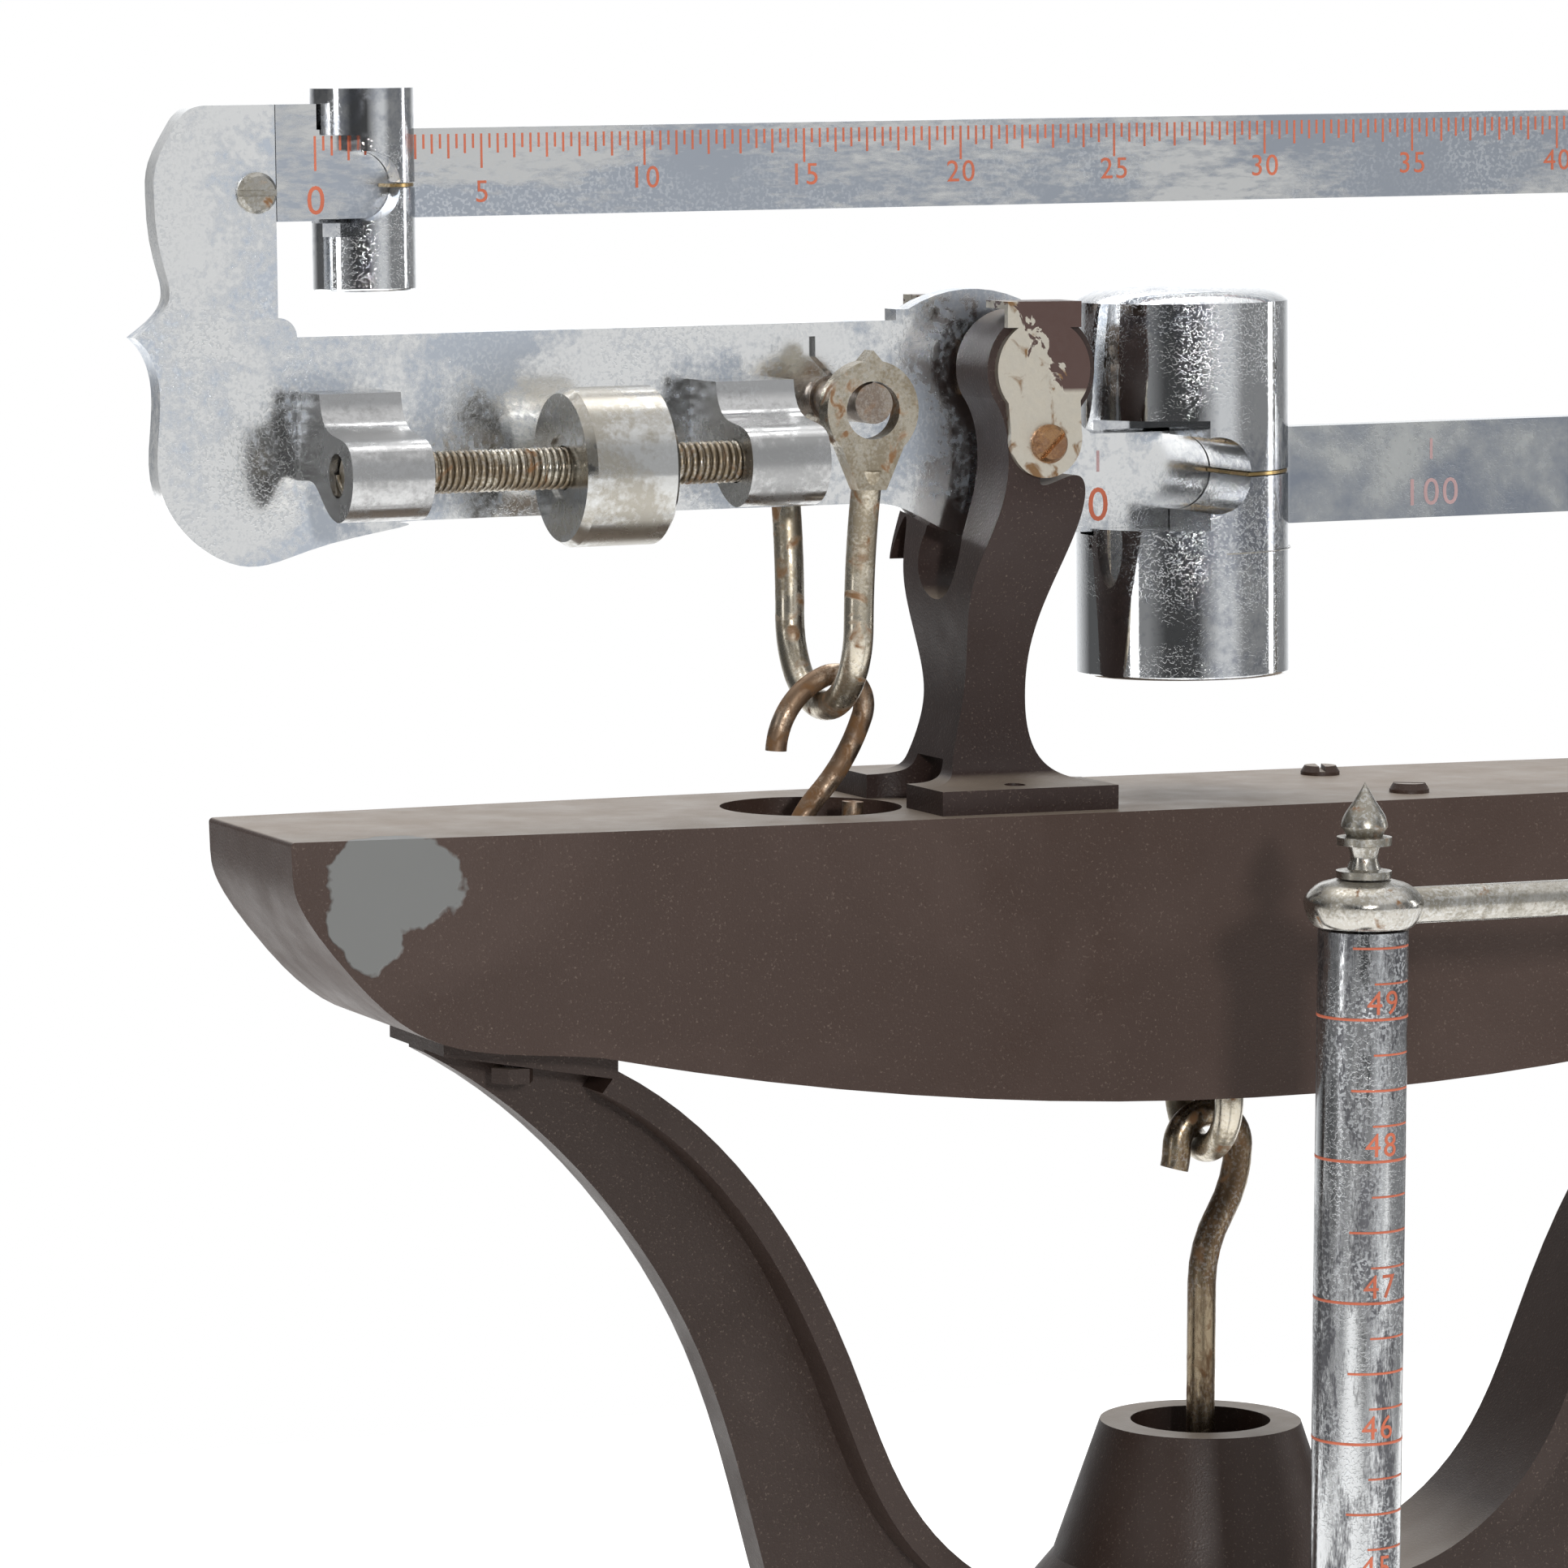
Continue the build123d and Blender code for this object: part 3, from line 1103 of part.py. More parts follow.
with BuildPart() as outer_tube:
    with BuildSketch(Plane((HEIGHT_X, HEIGHT_Y, TUBE_TOP - TUBE_LENGTH), x_dir=(1, 0, 0), z_dir=(0, 0, 1))):
        Circle(TUBE_R)
        Circle(TUBE_R - TUBE_WALL, mode=Mode.SUBTRACT)
    extrude(amount=TUBE_LENGTH)
save(outer_tube, "height_tube")

INNER_LENGTH = HEIGHT_TRAVEL + 110.0
SPIGOT_R = 1.6
SPIGOT_IN_FINIAL = 5.0
CAP_Z = TUBE_TOP + 0.6
CAP_H = 8.3
CAP_R = 10.6
ARM_Z = CAP_Z + 3.2
ARM_IN = 3.4             # where the arm starts, from the cap's axis
with BuildPart() as inner_tube:
    with BuildSketch(Plane((HEIGHT_X, HEIGHT_Y, TUBE_TOP - INNER_LENGTH), x_dir=(1, 0, 0), z_dir=(0, 0, 1))):
        Circle(INNER_R)
        Circle(INNER_R - 1.5, mode=Mode.SUBTRACT)
    extrude(amount=INNER_LENGTH)
    with BuildSketch(Plane((HEIGHT_X, HEIGHT_Y, TUBE_TOP), x_dir=(1, 0, 0), z_dir=(0, 0, 1))):
        Circle(INNER_R)
    extrude(amount=-12)
    with BuildSketch(Plane((HEIGHT_X, HEIGHT_Y, TUBE_TOP), x_dir=(1, 0, 0), z_dir=(0, 0, 1))):
        Circle(SPIGOT_R)
    extrude(amount=CAP_Z - TUBE_TOP + CAP_H + SPIGOT_IN_FINIAL)
save(inner_tube, "height_inner_tube")

# The cap turns on the inner tube's spigot. It carries the head arm.
with BuildPart() as rod_cap:
    with BuildSketch(Plane((HEIGHT_X, HEIGHT_Y, CAP_Z), x_dir=(1, 0, 0), z_dir=(0, -1, 0))):
        with BuildLine():
            bore = SPIGOT_R + RUNNING
            Line((bore, 0), (TUBE_R + 0.6, 0))
            Spline(
                (TUBE_R + 0.6, 0), (CAP_R - 0.4, 2.2), (CAP_R, 4.8), (8.4, 7.2), (5.2, CAP_H),
                tangents=((0.7, 0.5), (-0.9, 0.25)),
            )
            Line((5.2, CAP_H), (bore, CAP_H))
            Line((bore, CAP_H), (bore, 0))
        make_face()
    revolve(axis=Axis((HEIGHT_X, HEIGHT_Y, 0), (0, 0, 1)))
    with BuildSketch(Plane((HEIGHT_X + ARM_IN, HEIGHT_Y, ARM_Z), x_dir=(0, 1, 0), z_dir=(1, 0, 0))):
        Circle(ARM_R)
    extrude(amount=12, mode=Mode.SUBTRACT)
save(rod_cap, "rod_cap")

ARM_KNOB_L = 6.0
with BuildPart() as head_arm:
    with BuildSketch(Plane((HEIGHT_X + ARM_IN, HEIGHT_Y, ARM_Z), x_dir=(0, 1, 0), z_dir=(1, 0, 0))):
        Circle(ARM_R)
    extrude(amount=ARM_LENGTH - ARM_KNOB_L - ARM_IN)
    with BuildSketch(
        Plane((HEIGHT_X + ARM_LENGTH - ARM_KNOB_L, HEIGHT_Y, ARM_Z), x_dir=(0, 1, 0), z_dir=(1, 0, 0))
    ):
        Circle(ARM_R + 2.4)
    extrude(amount=ARM_KNOB_L)
    fillet(head_arm.edges().filter_by(GeomType.CIRCLE).group_by(SortBy.RADIUS)[-1], 1.6)
save(head_arm, "head_arm")

# A turned acorn screws down on the spigot and keeps the cap on.
FINIAL_Z = CAP_Z + CAP_H
with BuildPart() as finial:
    with BuildSketch(Plane((HEIGHT_X, HEIGHT_Y, FINIAL_Z), x_dir=(1, 0, 0), z_dir=(0, -1, 0))):
        with BuildLine():
            Line((0, 0.3), (0, 17.4))
            Spline((0, 17.4), (2.5, 13.2), (4.2, 9.5), tangents=((0.5, -1), (0.1, -1)))
            Polyline((4.2, 9.5), (3.2, 7.8), (4.9, 7.6), (4.9, 6.2), (2.9, 5.9))
            Spline((2.9, 5.9), (2.45, 3.8), (3.0, 1.9), tangents=((-0.3, -1), (0.3, -1)))
            Polyline((3.0, 1.9), (4.95, 1.6), (4.95, 0.3), (0, 0.3))
        make_face()
    revolve(axis=Axis((HEIGHT_X, HEIGHT_Y, 0), (0, 0, 1)))
    with BuildSketch(Plane((HEIGHT_X, HEIGHT_Y, FINIAL_Z), x_dir=(1, 0, 0), z_dir=(0, 0, 1))):
        Circle(SPIGOT_R)
    extrude(amount=SPIGOT_IN_FINIAL, mode=Mode.SUBTRACT)
save(finial, "finial")


# ================================================================ BASE
BASE_CORNER = 32.0
AXLE_R = 3.95
WHEEL_T = 14.0
AXLE_Z = WHEEL_R + 2.0
AXLE_Y = BASE_D / 2 - 14
FOOT_X = BASE_W / 2 - BASE_WALL - 9
FOOT_Y = (-BASE_D / 2 + 30, BASE_D / 2 - 80)
with BuildPart() as base:
    with BuildSketch(Plane.XY.offset(BASE_BOTTOM)):
        RectangleRounded(BASE_W, BASE_D, BASE_CORNER)
    extrude(amount=BASE_TOP - BASE_BOTTOM)
    top_rim = base.edges().group_by(Axis.Z)[-1]
    fillet(top_rim, 6)
    with BuildSketch(Plane.XY.offset(BASE_BOTTOM)):
        RectangleRounded(BASE_W - 2 * BASE_WALL, BASE_D - 2 * BASE_WALL, BASE_CORNER - BASE_WALL)
    extrude(amount=BASE_TOP - BASE_BOTTOM - DECK_T, mode=Mode.SUBTRACT)
    with BuildSketch(Plane.XY.offset(BASE_TOP)):
        with Locations((0, PLATFORM_Y)):
            RectangleRounded(PLATFORM_W + 2 * PLATFORM_GAP, PLATFORM_D + 2 * PLATFORM_GAP, 14)
    extrude(amount=-DECK_T, mode=Mode.SUBTRACT)
    # boss for the column, with a web under the deck
    with BuildSketch(Plane((0, COLUMN_Y, BASE_TOP - DECK_T), x_dir=(1, 0, 0), z_dir=(0, 0, 1))):
        Circle(COLUMN_R + 14)
    extrude(amount=BOSS_TOP - BASE_TOP + DECK_T, taper=12)
    with BuildSketch(Plane((0, COLUMN_Y, COLUMN_BOTTOM), x_dir=(1, 0, 0), z_dir=(0, 0, 1))):
        Circle(COLUMN_R)
    extrude(amount=40, mode=Mode.SUBTRACT)
    with BuildSketch(Plane((0, COLUMN_Y, 0), x_dir=(1, 0, 0), z_dir=(0, 0, 1))):
        Circle(COLUMN_R - 8)
    extrude(amount=BASE_TOP, mode=Mode.SUBTRACT)
    # ledges that the levers' fulcrum pins rest on
    for y in (LONG_FULCRUM_Y, SHORT_FULCRUM_Y):
        for side in (-1, 1):
            with BuildSketch(Plane.XY.offset(BASE_BOTTOM + 4)):
                with Locations((side * (BASE_W / 2 - BASE_WALL - 14), y)):
                    Rectangle(28.4, 26)
            extrude(amount=PIN_Z - PIN_R + 1.6 - BASE_BOTTOM - 4)
            with BuildSketch(
                Plane((side * (BASE_W / 2 - BASE_WALL + 2), y, PIN_Z), x_dir=(0, 1, 0), z_dir=(-side, 0, 0))
            ):
                Circle(PIN_R + RUNNING)
            extrude(amount=32, mode=Mode.SUBTRACT)
    # holes for the wheel axle and the feet
    with BuildSketch(Plane((-BASE_W / 2 - 1, AXLE_Y, AXLE_Z), x_dir=(0, 1, 0), z_dir=(1, 0, 0))):
        Circle(AXLE_R)
    extrude(amount=BASE_W + 2, mode=Mode.SUBTRACT)
    for side in (-1, 1):
        for y in FOOT_Y:
            with BuildSketch(Plane.XY.offset(BASE_BOTTOM)):
                with Locations((side * FOOT_X, y)):
                    Circle(11)
            extrude(amount=16)
            with BuildSketch(Plane.XY.offset(BASE_BOTTOM)):
                with Locations((side * FOOT_X, y)):
                    Circle(4.0)
            extrude(amount=14, mode=Mode.SUBTRACT)
save(base, "base")


def foot(x, y):
    """A levelling foot screwed up into its boss."""
    with BuildPart() as levelling:
        with BuildSketch(Plane.XY):
            with Locations((x, y)):
                Circle(12)
        extrude(amount=5)
        fillet(levelling.edges().filter_by(GeomType.CIRCLE), 1.2)
        with BuildSketch(Plane.XY.offset(5)):
            with Locations((x, y)):
                RegularPolygon(7, 6)
        extrude(amount=BASE_BOTTOM - 5)
        with BuildSketch(Plane.XY.offset(BASE_BOTTOM)):
            with Locations((x, y)):
                Circle(4.0)
        extrude(amount=12)
    return levelling.part


save_group(
    (
        foot(side * FOOT_X, y)
        for side in (-1, 1)
        for y in FOOT_Y
    ),
    "levelling_feet",
)

# Two wheels outside the back corners, for rolling the scale when it is tipped.
AXLE_HALF = BASE_W / 2 + WHEEL_T + 3
with BuildPart() as axle:
    with BuildSketch(Plane((-AXLE_HALF, AXLE_Y, AXLE_Z), x_dir=(0, 1, 0), z_dir=(1, 0, 0))):
        Circle(AXLE_R)
    extrude(amount=2 * AXLE_HALF)
save(axle, "wheel_axle")

for name, side in (("wheel_left", -1), ("wheel_right", 1)):
    with BuildPart() as wheel:
        with BuildSketch(
            Plane((side * (BASE_W / 2 + 2), AXLE_Y, AXLE_Z), x_dir=(0, 1, 0), z_dir=(side, 0, 0))
        ):
            Circle(WHEEL_R)
            Circle(AXLE_R + RUNNING, mode=Mode.SUBTRACT)
        extrude(amount=WHEEL_T)
        fillet(wheel.edges().filter_by(GeomType.CIRCLE).group_by(SortBy.RADIUS)[-1], 2.0)
    save(wheel, name)


def axle_cap(side):
    """A domed cap on one end of the axle."""
    with BuildPart() as cap:
        with BuildSketch(Plane((side * AXLE_HALF, AXLE_Y, AXLE_Z), x_dir=(0, 1, 0), z_dir=(side, 0, 0))):
            Circle(AXLE_R + 2.5)
        extrude(amount=2.4)
        outer_rim = cap.edges().filter_by(GeomType.CIRCLE).sort_by(Axis.X)[-1 if side > 0 else 0]
        fillet(outer_rim, 1.6)
    return cap.part


save_group((axle_cap(side) for side in (-1, 1)), "axle_caps")


# ================================================================ PLATFORM AND ITS LEVERS
SKIRT_H = 16.0
PLATE_Z = PLATFORM_TOP - MAT_T - PLATE_T
LONG_LOAD_Y = LONG_FULCRUM_Y + LEVER_LOAD_ARM
SHORT_LOAD_Y = SHORT_FULCRUM_Y - SHORT_LOAD_ARM
ARM_X = 98.0
NOSE_Y = COLUMN_Y

with BuildPart() as platform:
    with BuildSketch(Plane.XY.offset(PLATE_Z - SKIRT_H)):
        with Locations((0, PLATFORM_Y)):
            RectangleRounded(PLATFORM_W, PLATFORM_D, 12)
    extrude(amount=SKIRT_H + PLATE_T)
    fillet(platform.edges().group_by(Axis.Z)[-1], 2.0)
    with BuildSketch(Plane.XY.offset(PLATE_Z - SKIRT_H)):
        with Locations((0, PLATFORM_Y)):
            RectangleRounded(PLATFORM_W - 10, PLATFORM_D - 10, 8)
    extrude(amount=SKIRT_H, mode=Mode.SUBTRACT)
    # four legs that stand on the levers' load pins
    for side in (-1, 1):
        for y in (LONG_LOAD_Y, SHORT_LOAD_Y):
            with BuildSketch(Plane((side * (ARM_X - LEVER_BAR_W / 2 - 6), y, PLATE_Z), x_dir=(1, 0, 0), z_dir=(0, 0, -1))):
                Rectangle(7, 14)
            extrude(amount=PLATE_Z - PIN_Z)
            with BuildSketch(Plane((side * (ARM_X - 18), y, PIN_Z), x_dir=(0, 1, 0), z_dir=(side, 0, 0))):
                Circle(PIN_R + RUNNING)
            extrude(amount=14, mode=Mode.SUBTRACT)
save(platform, "platform")

MAT_RIB = 4.0
with BuildPart() as mat:
    with BuildSketch(Plane.XY.offset(PLATFORM_TOP - MAT_T)):
        with Locations((0, PLATFORM_Y)):
            RectangleRounded(PLATFORM_W - 12, PLATFORM_D - 12, 8)
    extrude(amount=MAT_T - 1.2)
    with BuildSketch(Plane.XY.offset(PLATFORM_TOP - 1.2)):
        with Locations((0, PLATFORM_Y)):
            with GridLocations(2 * MAT_RIB, 1, int((PLATFORM_W - 36) / (2 * MAT_RIB)), 1):
                Rectangle(MAT_RIB, PLATFORM_D - 40)
    extrude(amount=1.2)
save(mat, "platform_mat")


def lever_bar(start, end, width, height, z_top):
    """A straight flat bar between two plan points."""
    (x0, y0), (x1, y1) = start, end
    length = ((x1 - x0) ** 2 + (y1 - y0) ** 2) ** 0.5
    with BuildPart() as bar:
        with BuildSketch(
            Plane(((x0 + x1) / 2, (y0 + y1) / 2, z_top), x_dir=(x1 - x0, y1 - y0, 0), z_dir=(0, 0, -1))
        ):
            SlotOverall(length + width, width)
        extrude(amount=height)
    return bar.part


# The long lever: two arms from the front corners that meet in a nose under the column.
long_bars = [
    lever_bar((side * ARM_X, LONG_FULCRUM_Y - 8), (side * ARM_X, -150), LEVER_BAR_W, LEVER_BAR_H, LEVER_TOP)
    for side in (-1, 1)
]
long_bars += [
    lever_bar((side * ARM_X, -150), (0, LINK_Y - 25), LEVER_BAR_W, LEVER_BAR_H, LEVER_TOP) for side in (-1, 1)
]
long_bars.append(lever_bar((0, LINK_Y - 25), (0, NOSE_Y + 8), LEVER_BAR_W + 4, LEVER_BAR_H, LEVER_TOP))
with BuildPart() as long_lever:
    add(long_bars)
    for side in (-1, 1):
        for y in (LONG_FULCRUM_Y, LONG_LOAD_Y):
            with BuildSketch(Plane((side * (ARM_X - 10), y, PIN_Z), x_dir=(0, 1, 0), z_dir=(side, 0, 0))):
                Circle(PIN_R)
            extrude(amount=20, mode=Mode.SUBTRACT)
    # the nose is bored for the steelyard rod, and the middle for the link
    with BuildSketch(Plane.XY.offset(LEVER_TOP + 1)):
        with Locations((0, NOSE_Y), (0, LINK_Y)):
            Circle(ROD_R + 1.2)
    extrude(amount=-LEVER_BAR_H - 2, mode=Mode.SUBTRACT)
save(long_lever, "long_lever")

# The short lever: two arms from the back, joined by a bridge that passes under the long lever.
BRIDGE_TOP = LEVER_TOP - LEVER_BAR_H - 2
BRIDGE_T = 6.0
short_bars = [
    lever_bar((side * ARM_X, SHORT_FULCRUM_Y + 8), (side * ARM_X, 50), LEVER_BAR_W, LEVER_BAR_H, LEVER_TOP)
    for side in (-1, 1)
]
short_bars += [
    lever_bar((side * ARM_X, 50), (side * 30, LINK_Y), LEVER_BAR_W, LEVER_BAR_H, LEVER_TOP) for side in (-1, 1)
]
with BuildPart() as short_lever:
    add(short_bars)
    with BuildSketch(Plane.XZ.offset(-LINK_Y + 6)):
        with BuildLine():
            Polyline(
                (-33, LEVER_TOP), (-33, BRIDGE_TOP - BRIDGE_T), (33, BRIDGE_TOP - BRIDGE_T), (33, LEVER_TOP),
                (27, LEVER_TOP), (27, BRIDGE_TOP), (-27, BRIDGE_TOP), (-27, LEVER_TOP), close=True,
            )
        make_face()
    extrude(amount=-12)
    for side in (-1, 1):
        for y in (SHORT_FULCRUM_Y, SHORT_LOAD_Y):
            with BuildSketch(Plane((side * (ARM_X - 10), y, PIN_Z), x_dir=(0, 1, 0), z_dir=(side, 0, 0))):
                Circle(PIN_R)
            extrude(amount=20, mode=Mode.SUBTRACT)
    with BuildSketch(level(BRIDGE_TOP)):
        with Locations((0, LINK_Y)):
            Circle(ROD_R + 0.6)
    extrude(amount=-BRIDGE_T, mode=Mode.SUBTRACT)
save(short_lever, "short_lever")


def lever_pin(side, y, inward, outward):
    """A hard pin pressed through a lever arm."""
    with BuildPart() as pin:
        with BuildSketch(Plane((side * (ARM_X - inward), y, PIN_Z), x_dir=(0, 1, 0), z_dir=(side, 0, 0))):
            Circle(PIN_R)
        extrude(amount=inward + outward)
    return pin.part


# Fulcrum pins reach out to the base's ledges, and load pins reach in under the platform's legs.
for lever, fulcrum_y, load_y in (
    ("long_lever", LONG_FULCRUM_Y, LONG_LOAD_Y),
    ("short_lever", SHORT_FULCRUM_Y, SHORT_LOAD_Y),
):
    save_group(
        [lever_pin(side, fulcrum_y, 5, 36) for side in (-1, 1)]
        + [lever_pin(side, load_y, 16, 5) for side in (-1, 1)],
        f"{lever}_pins",
    )

# A headed link hangs the short lever's bridge from the long lever.
LINK_HEAD_R = 5.5
LINK_HEAD_T = 3.0
link_bottom = BRIDGE_TOP - BRIDGE_T - GAP
with BuildPart() as lever_link:
    for z in (link_bottom - LINK_HEAD_T, LEVER_TOP + GAP):
        with BuildSketch(level(z, 0, LINK_Y)):
            Circle(LINK_HEAD_R)
        extrude(amount=LINK_HEAD_T)
    with BuildSketch(level(link_bottom, 0, LINK_Y)):
        Circle(ROD_R)
    extrude(amount=LEVER_TOP + GAP - link_bottom)
save(lever_link, "lever_link")


# ================================================================ STEELYARD ROD
# From its hook in the loop under the shelf, down inside the column, to a nut under the long lever's nose.
# the hook is a half turn about a point beside the loop's wire
ROD_HOOK_R = 6.6
ROD_HOOK_X = 0.9
ROD_HOOK_H = STEEL_LOOP_BOTTOM + 0.2
ROD_END_Z = LEVER_TOP - LEVER_BAR_H - 9
ROD_STRAIGHT_TOP = ROD_HOOK_H - 26.4
ROD_SIDE_X = ROD_HOOK_X + ROD_HOOK_R
with BuildPart() as steelyard_rod:
    with BuildSketch(level(ROD_END_Z, 0, COLUMN_Y)):
        Circle(ROD_R)
    extrude(amount=SHELF_TOP + ROD_STRAIGHT_TOP - ROD_END_Z)
    add(
        bent_wire(
            head_face(0), (0, ROD_STRAIGHT_TOP), (0, 1),
            (
                (ROD_SIDE_X / 2, (ROD_STRAIGHT_TOP + ROD_HOOK_H) / 2),
                (ROD_SIDE_X, ROD_HOOK_H),
                (ROD_HOOK_X, ROD_HOOK_H + ROD_HOOK_R),
                (ROD_HOOK_X - ROD_HOOK_R, ROD_HOOK_H),
                (ROD_HOOK_X - ROD_HOOK_R - 0.5, ROD_HOOK_H - 4.0),
            ),
            ROD_R,
        )
    )
save(steelyard_rod, "steelyard_rod")

with BuildPart() as rod_nut:
    with BuildSketch(Plane((0, NOSE_Y, LEVER_TOP - LEVER_BAR_H - GAP), x_dir=(1, 0, 0), z_dir=(0, 0, -1))):
        RegularPolygon(5.5, 6, major_radius=False)
        Circle(ROD_R, mode=Mode.SUBTRACT)
    extrude(amount=5)
save(rod_nut, "rod_nut")

# Two small screws hold the beam guide down.
save_group(
    (
        slotted_screw(
            Plane((GUIDE_SHELF_X, COLUMN_Y + side * GUIDE_SCREW_Y, SHELF_TOP + GUIDE_FLANGE_T), x_dir=(1, 0, 0), z_dir=(0, 0, 1)),
            1.7, GUIDE_FLANGE_T + 2 * SHELF_WALL, 3.0, 1.5, turn=30 * side,
        )
        for side in (-1, 1)
    ),
    "guide_screws",
)
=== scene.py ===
# %% [markdown]
# A person scale, finished in Blender
#
# The machine is a physician's scale: a platform on levers, a tall column, and a nickel-plated balance
# beam with two sliding poises on top. Its shapes come from a CAD model. This lesson gives them their
# finishes, and adds what is too fine for CAD: painted marks, numbers, a seam and a screw thread.

import json
import math

import bmesh
import bpy
from mathutils import Matrix, Vector


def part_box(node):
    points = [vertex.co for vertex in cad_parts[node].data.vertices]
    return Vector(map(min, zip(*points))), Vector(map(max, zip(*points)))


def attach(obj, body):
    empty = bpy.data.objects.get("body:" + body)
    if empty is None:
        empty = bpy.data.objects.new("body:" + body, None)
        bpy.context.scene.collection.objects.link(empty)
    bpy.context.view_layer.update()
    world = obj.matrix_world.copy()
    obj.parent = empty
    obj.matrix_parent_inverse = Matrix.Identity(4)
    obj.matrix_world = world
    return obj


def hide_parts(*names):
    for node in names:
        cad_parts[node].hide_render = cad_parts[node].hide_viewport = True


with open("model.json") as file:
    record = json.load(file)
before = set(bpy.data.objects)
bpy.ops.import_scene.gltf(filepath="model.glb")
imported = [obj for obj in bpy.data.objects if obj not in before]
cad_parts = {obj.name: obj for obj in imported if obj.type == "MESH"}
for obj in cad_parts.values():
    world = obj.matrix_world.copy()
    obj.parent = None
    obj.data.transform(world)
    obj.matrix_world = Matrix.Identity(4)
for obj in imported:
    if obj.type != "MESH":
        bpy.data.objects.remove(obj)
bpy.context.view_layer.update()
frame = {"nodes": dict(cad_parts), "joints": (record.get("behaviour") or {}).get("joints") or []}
MM = 0.001
nodes = frame["nodes"]
joints = {joint["name"]: joint for joint in frame["joints"]}

# %% [markdown]
# The beam leans a little, so its marks need the beam's own directions. The rocking joint sits on the
# knife edge, and the small poise slides along the beam: together they give an origin and an axis.

# %% The beam's own directions
knife_edge = Vector(joints["beam_rock"]["pos_m"])
along_beam = Vector(joints["small_poise_slide"]["axis"]).normalized()
across_beam = Vector((-along_beam.z, 0, along_beam.x))
BEAM_FACE = -2.5 * MM


def beam_matrix(along, up, out=0.0):
    """Places a drawing on the beam's face: its X runs along the beam, its Y up and its Z to the front."""
    front = Vector((0, BEAM_FACE - out * MM, 0))
    place = knife_edge + along_beam * along * MM + across_beam * up * MM + front
    turn = Matrix((along_beam, across_beam, Vector((0, -1, 0)))).transposed().to_4x4()
    return Matrix.Translation(place) @ turn


print("knife edge at", [round(v, 4) for v in knife_edge])

# %% [markdown]
# Every finish starts from the same few steps: read the piece's own coordinates, make some noise from
# them, and let the noise steer colour, roughness and a little relief. A small helper keeps the node
# trees short, and each finish below then reads like a recipe.


# %% A helper for node recipes
class Recipe:
    """Builds one material's node tree step by step."""

    def __init__(self, name):
        self.material = bpy.data.materials.new(name)
        self.material.use_nodes = True
        self.tree = self.material.node_tree
        self.shader = self.tree.nodes["Principled BSDF"]
        self.place = self.tree.nodes.new("ShaderNodeTexCoord").outputs["Object"]

    def link(self, value, socket):
        """Sets a socket to a plain value, or joins it to another node's output."""
        if isinstance(value, bpy.types.NodeSocket):
            self.tree.links.new(value, socket)
        else:
            socket.default_value = value

    def noise(self, per_metre, detail=3.0, stretch=(1, 1, 1), rough=0.55, distort=0.0):
        """Cloudy noise with so many features to the metre, between 0 and 1."""
        mapping = self.tree.nodes.new("ShaderNodeMapping")
        self.link(self.place, mapping.inputs["Vector"])
        mapping.inputs["Scale"].default_value = stretch
        noise = self.tree.nodes.new("ShaderNodeTexNoise")
        self.link(mapping.outputs[0], noise.inputs["Vector"])
        noise.inputs["Scale"].default_value = per_metre
        noise.inputs["Detail"].default_value = detail
        noise.inputs["Roughness"].default_value = rough
        noise.inputs["Distortion"].default_value = distort
        return noise.outputs[0]

    def ramp(self, value, low, high, out_low=0.0, out_high=1.0):
        """Stretches the part of a value between low and high to another range."""
        node = self.tree.nodes.new("ShaderNodeMapRange")
        self.link(value, node.inputs["Value"])
        limits = (("From Min", low), ("From Max", high), ("To Min", out_low), ("To Max", out_high))
        for name, number in limits:
            node.inputs[name].default_value = number
        return node.outputs[0]

    def math(self, operation, first, second=0.0):
        """One step of arithmetic."""
        node = self.tree.nodes.new("ShaderNodeMath")
        node.operation = operation
        self.link(first, node.inputs[0])
        self.link(second, node.inputs[1])
        return node.outputs[0]

    def mix(self, factor, first, second):
        """A blend of two colours."""
        node = self.tree.nodes.new("ShaderNodeMix")
        node.data_type = "RGBA"
        self.link(factor, node.inputs[0])
        self.link((*first, 1) if isinstance(first, tuple) else first, node.inputs[6])
        self.link((*second, 1) if isinstance(second, tuple) else second, node.inputs[7])
        return node.outputs[2]

    def axis(self, name):
        """One coordinate of the surface point, in metres."""
        node = self.tree.nodes.new("ShaderNodeSeparateXYZ")
        self.link(self.place, node.inputs[0])
        return node.outputs[name]

    def blob(self, centre, size, wobble=0.0):
        """1 inside an ellipsoid round a point, 0 outside, with a ragged edge."""
        parts = []
        for name, middle, half in zip("XYZ", centre, size):
            offset = self.math("MULTIPLY", self.math("SUBTRACT", self.axis(name), middle), 1 / half)
            parts.append(self.math("MULTIPLY", offset, offset))
        distance = self.math("ADD", self.math("ADD", parts[0], parts[1]), parts[2])
        if wobble:
            ragged = self.ramp(self.noise(150, 3), 0.3, 0.7, -wobble, wobble)
            distance = self.math("ADD", distance, ragged)
        return self.ramp(distance, 1.06, 0.94)

    def finish(self, colour, roughness, metallic, relief, depth):
        """Joins colour, roughness, metal and a relief of this depth in metres to the shader."""
        self.link(colour, self.shader.inputs["Base Color"])
        self.link(roughness, self.shader.inputs["Roughness"])
        self.link(metallic, self.shader.inputs["Metallic"])
        bump = self.tree.nodes.new("ShaderNodeBump")
        bump.inputs["Strength"].default_value = 1.0
        bump.inputs["Distance"].default_value = depth
        self.link(relief, bump.inputs["Height"])
        self.link(bump.outputs[0], self.shader.inputs["Normal"])
        return self.material


print("recipe helper ready")
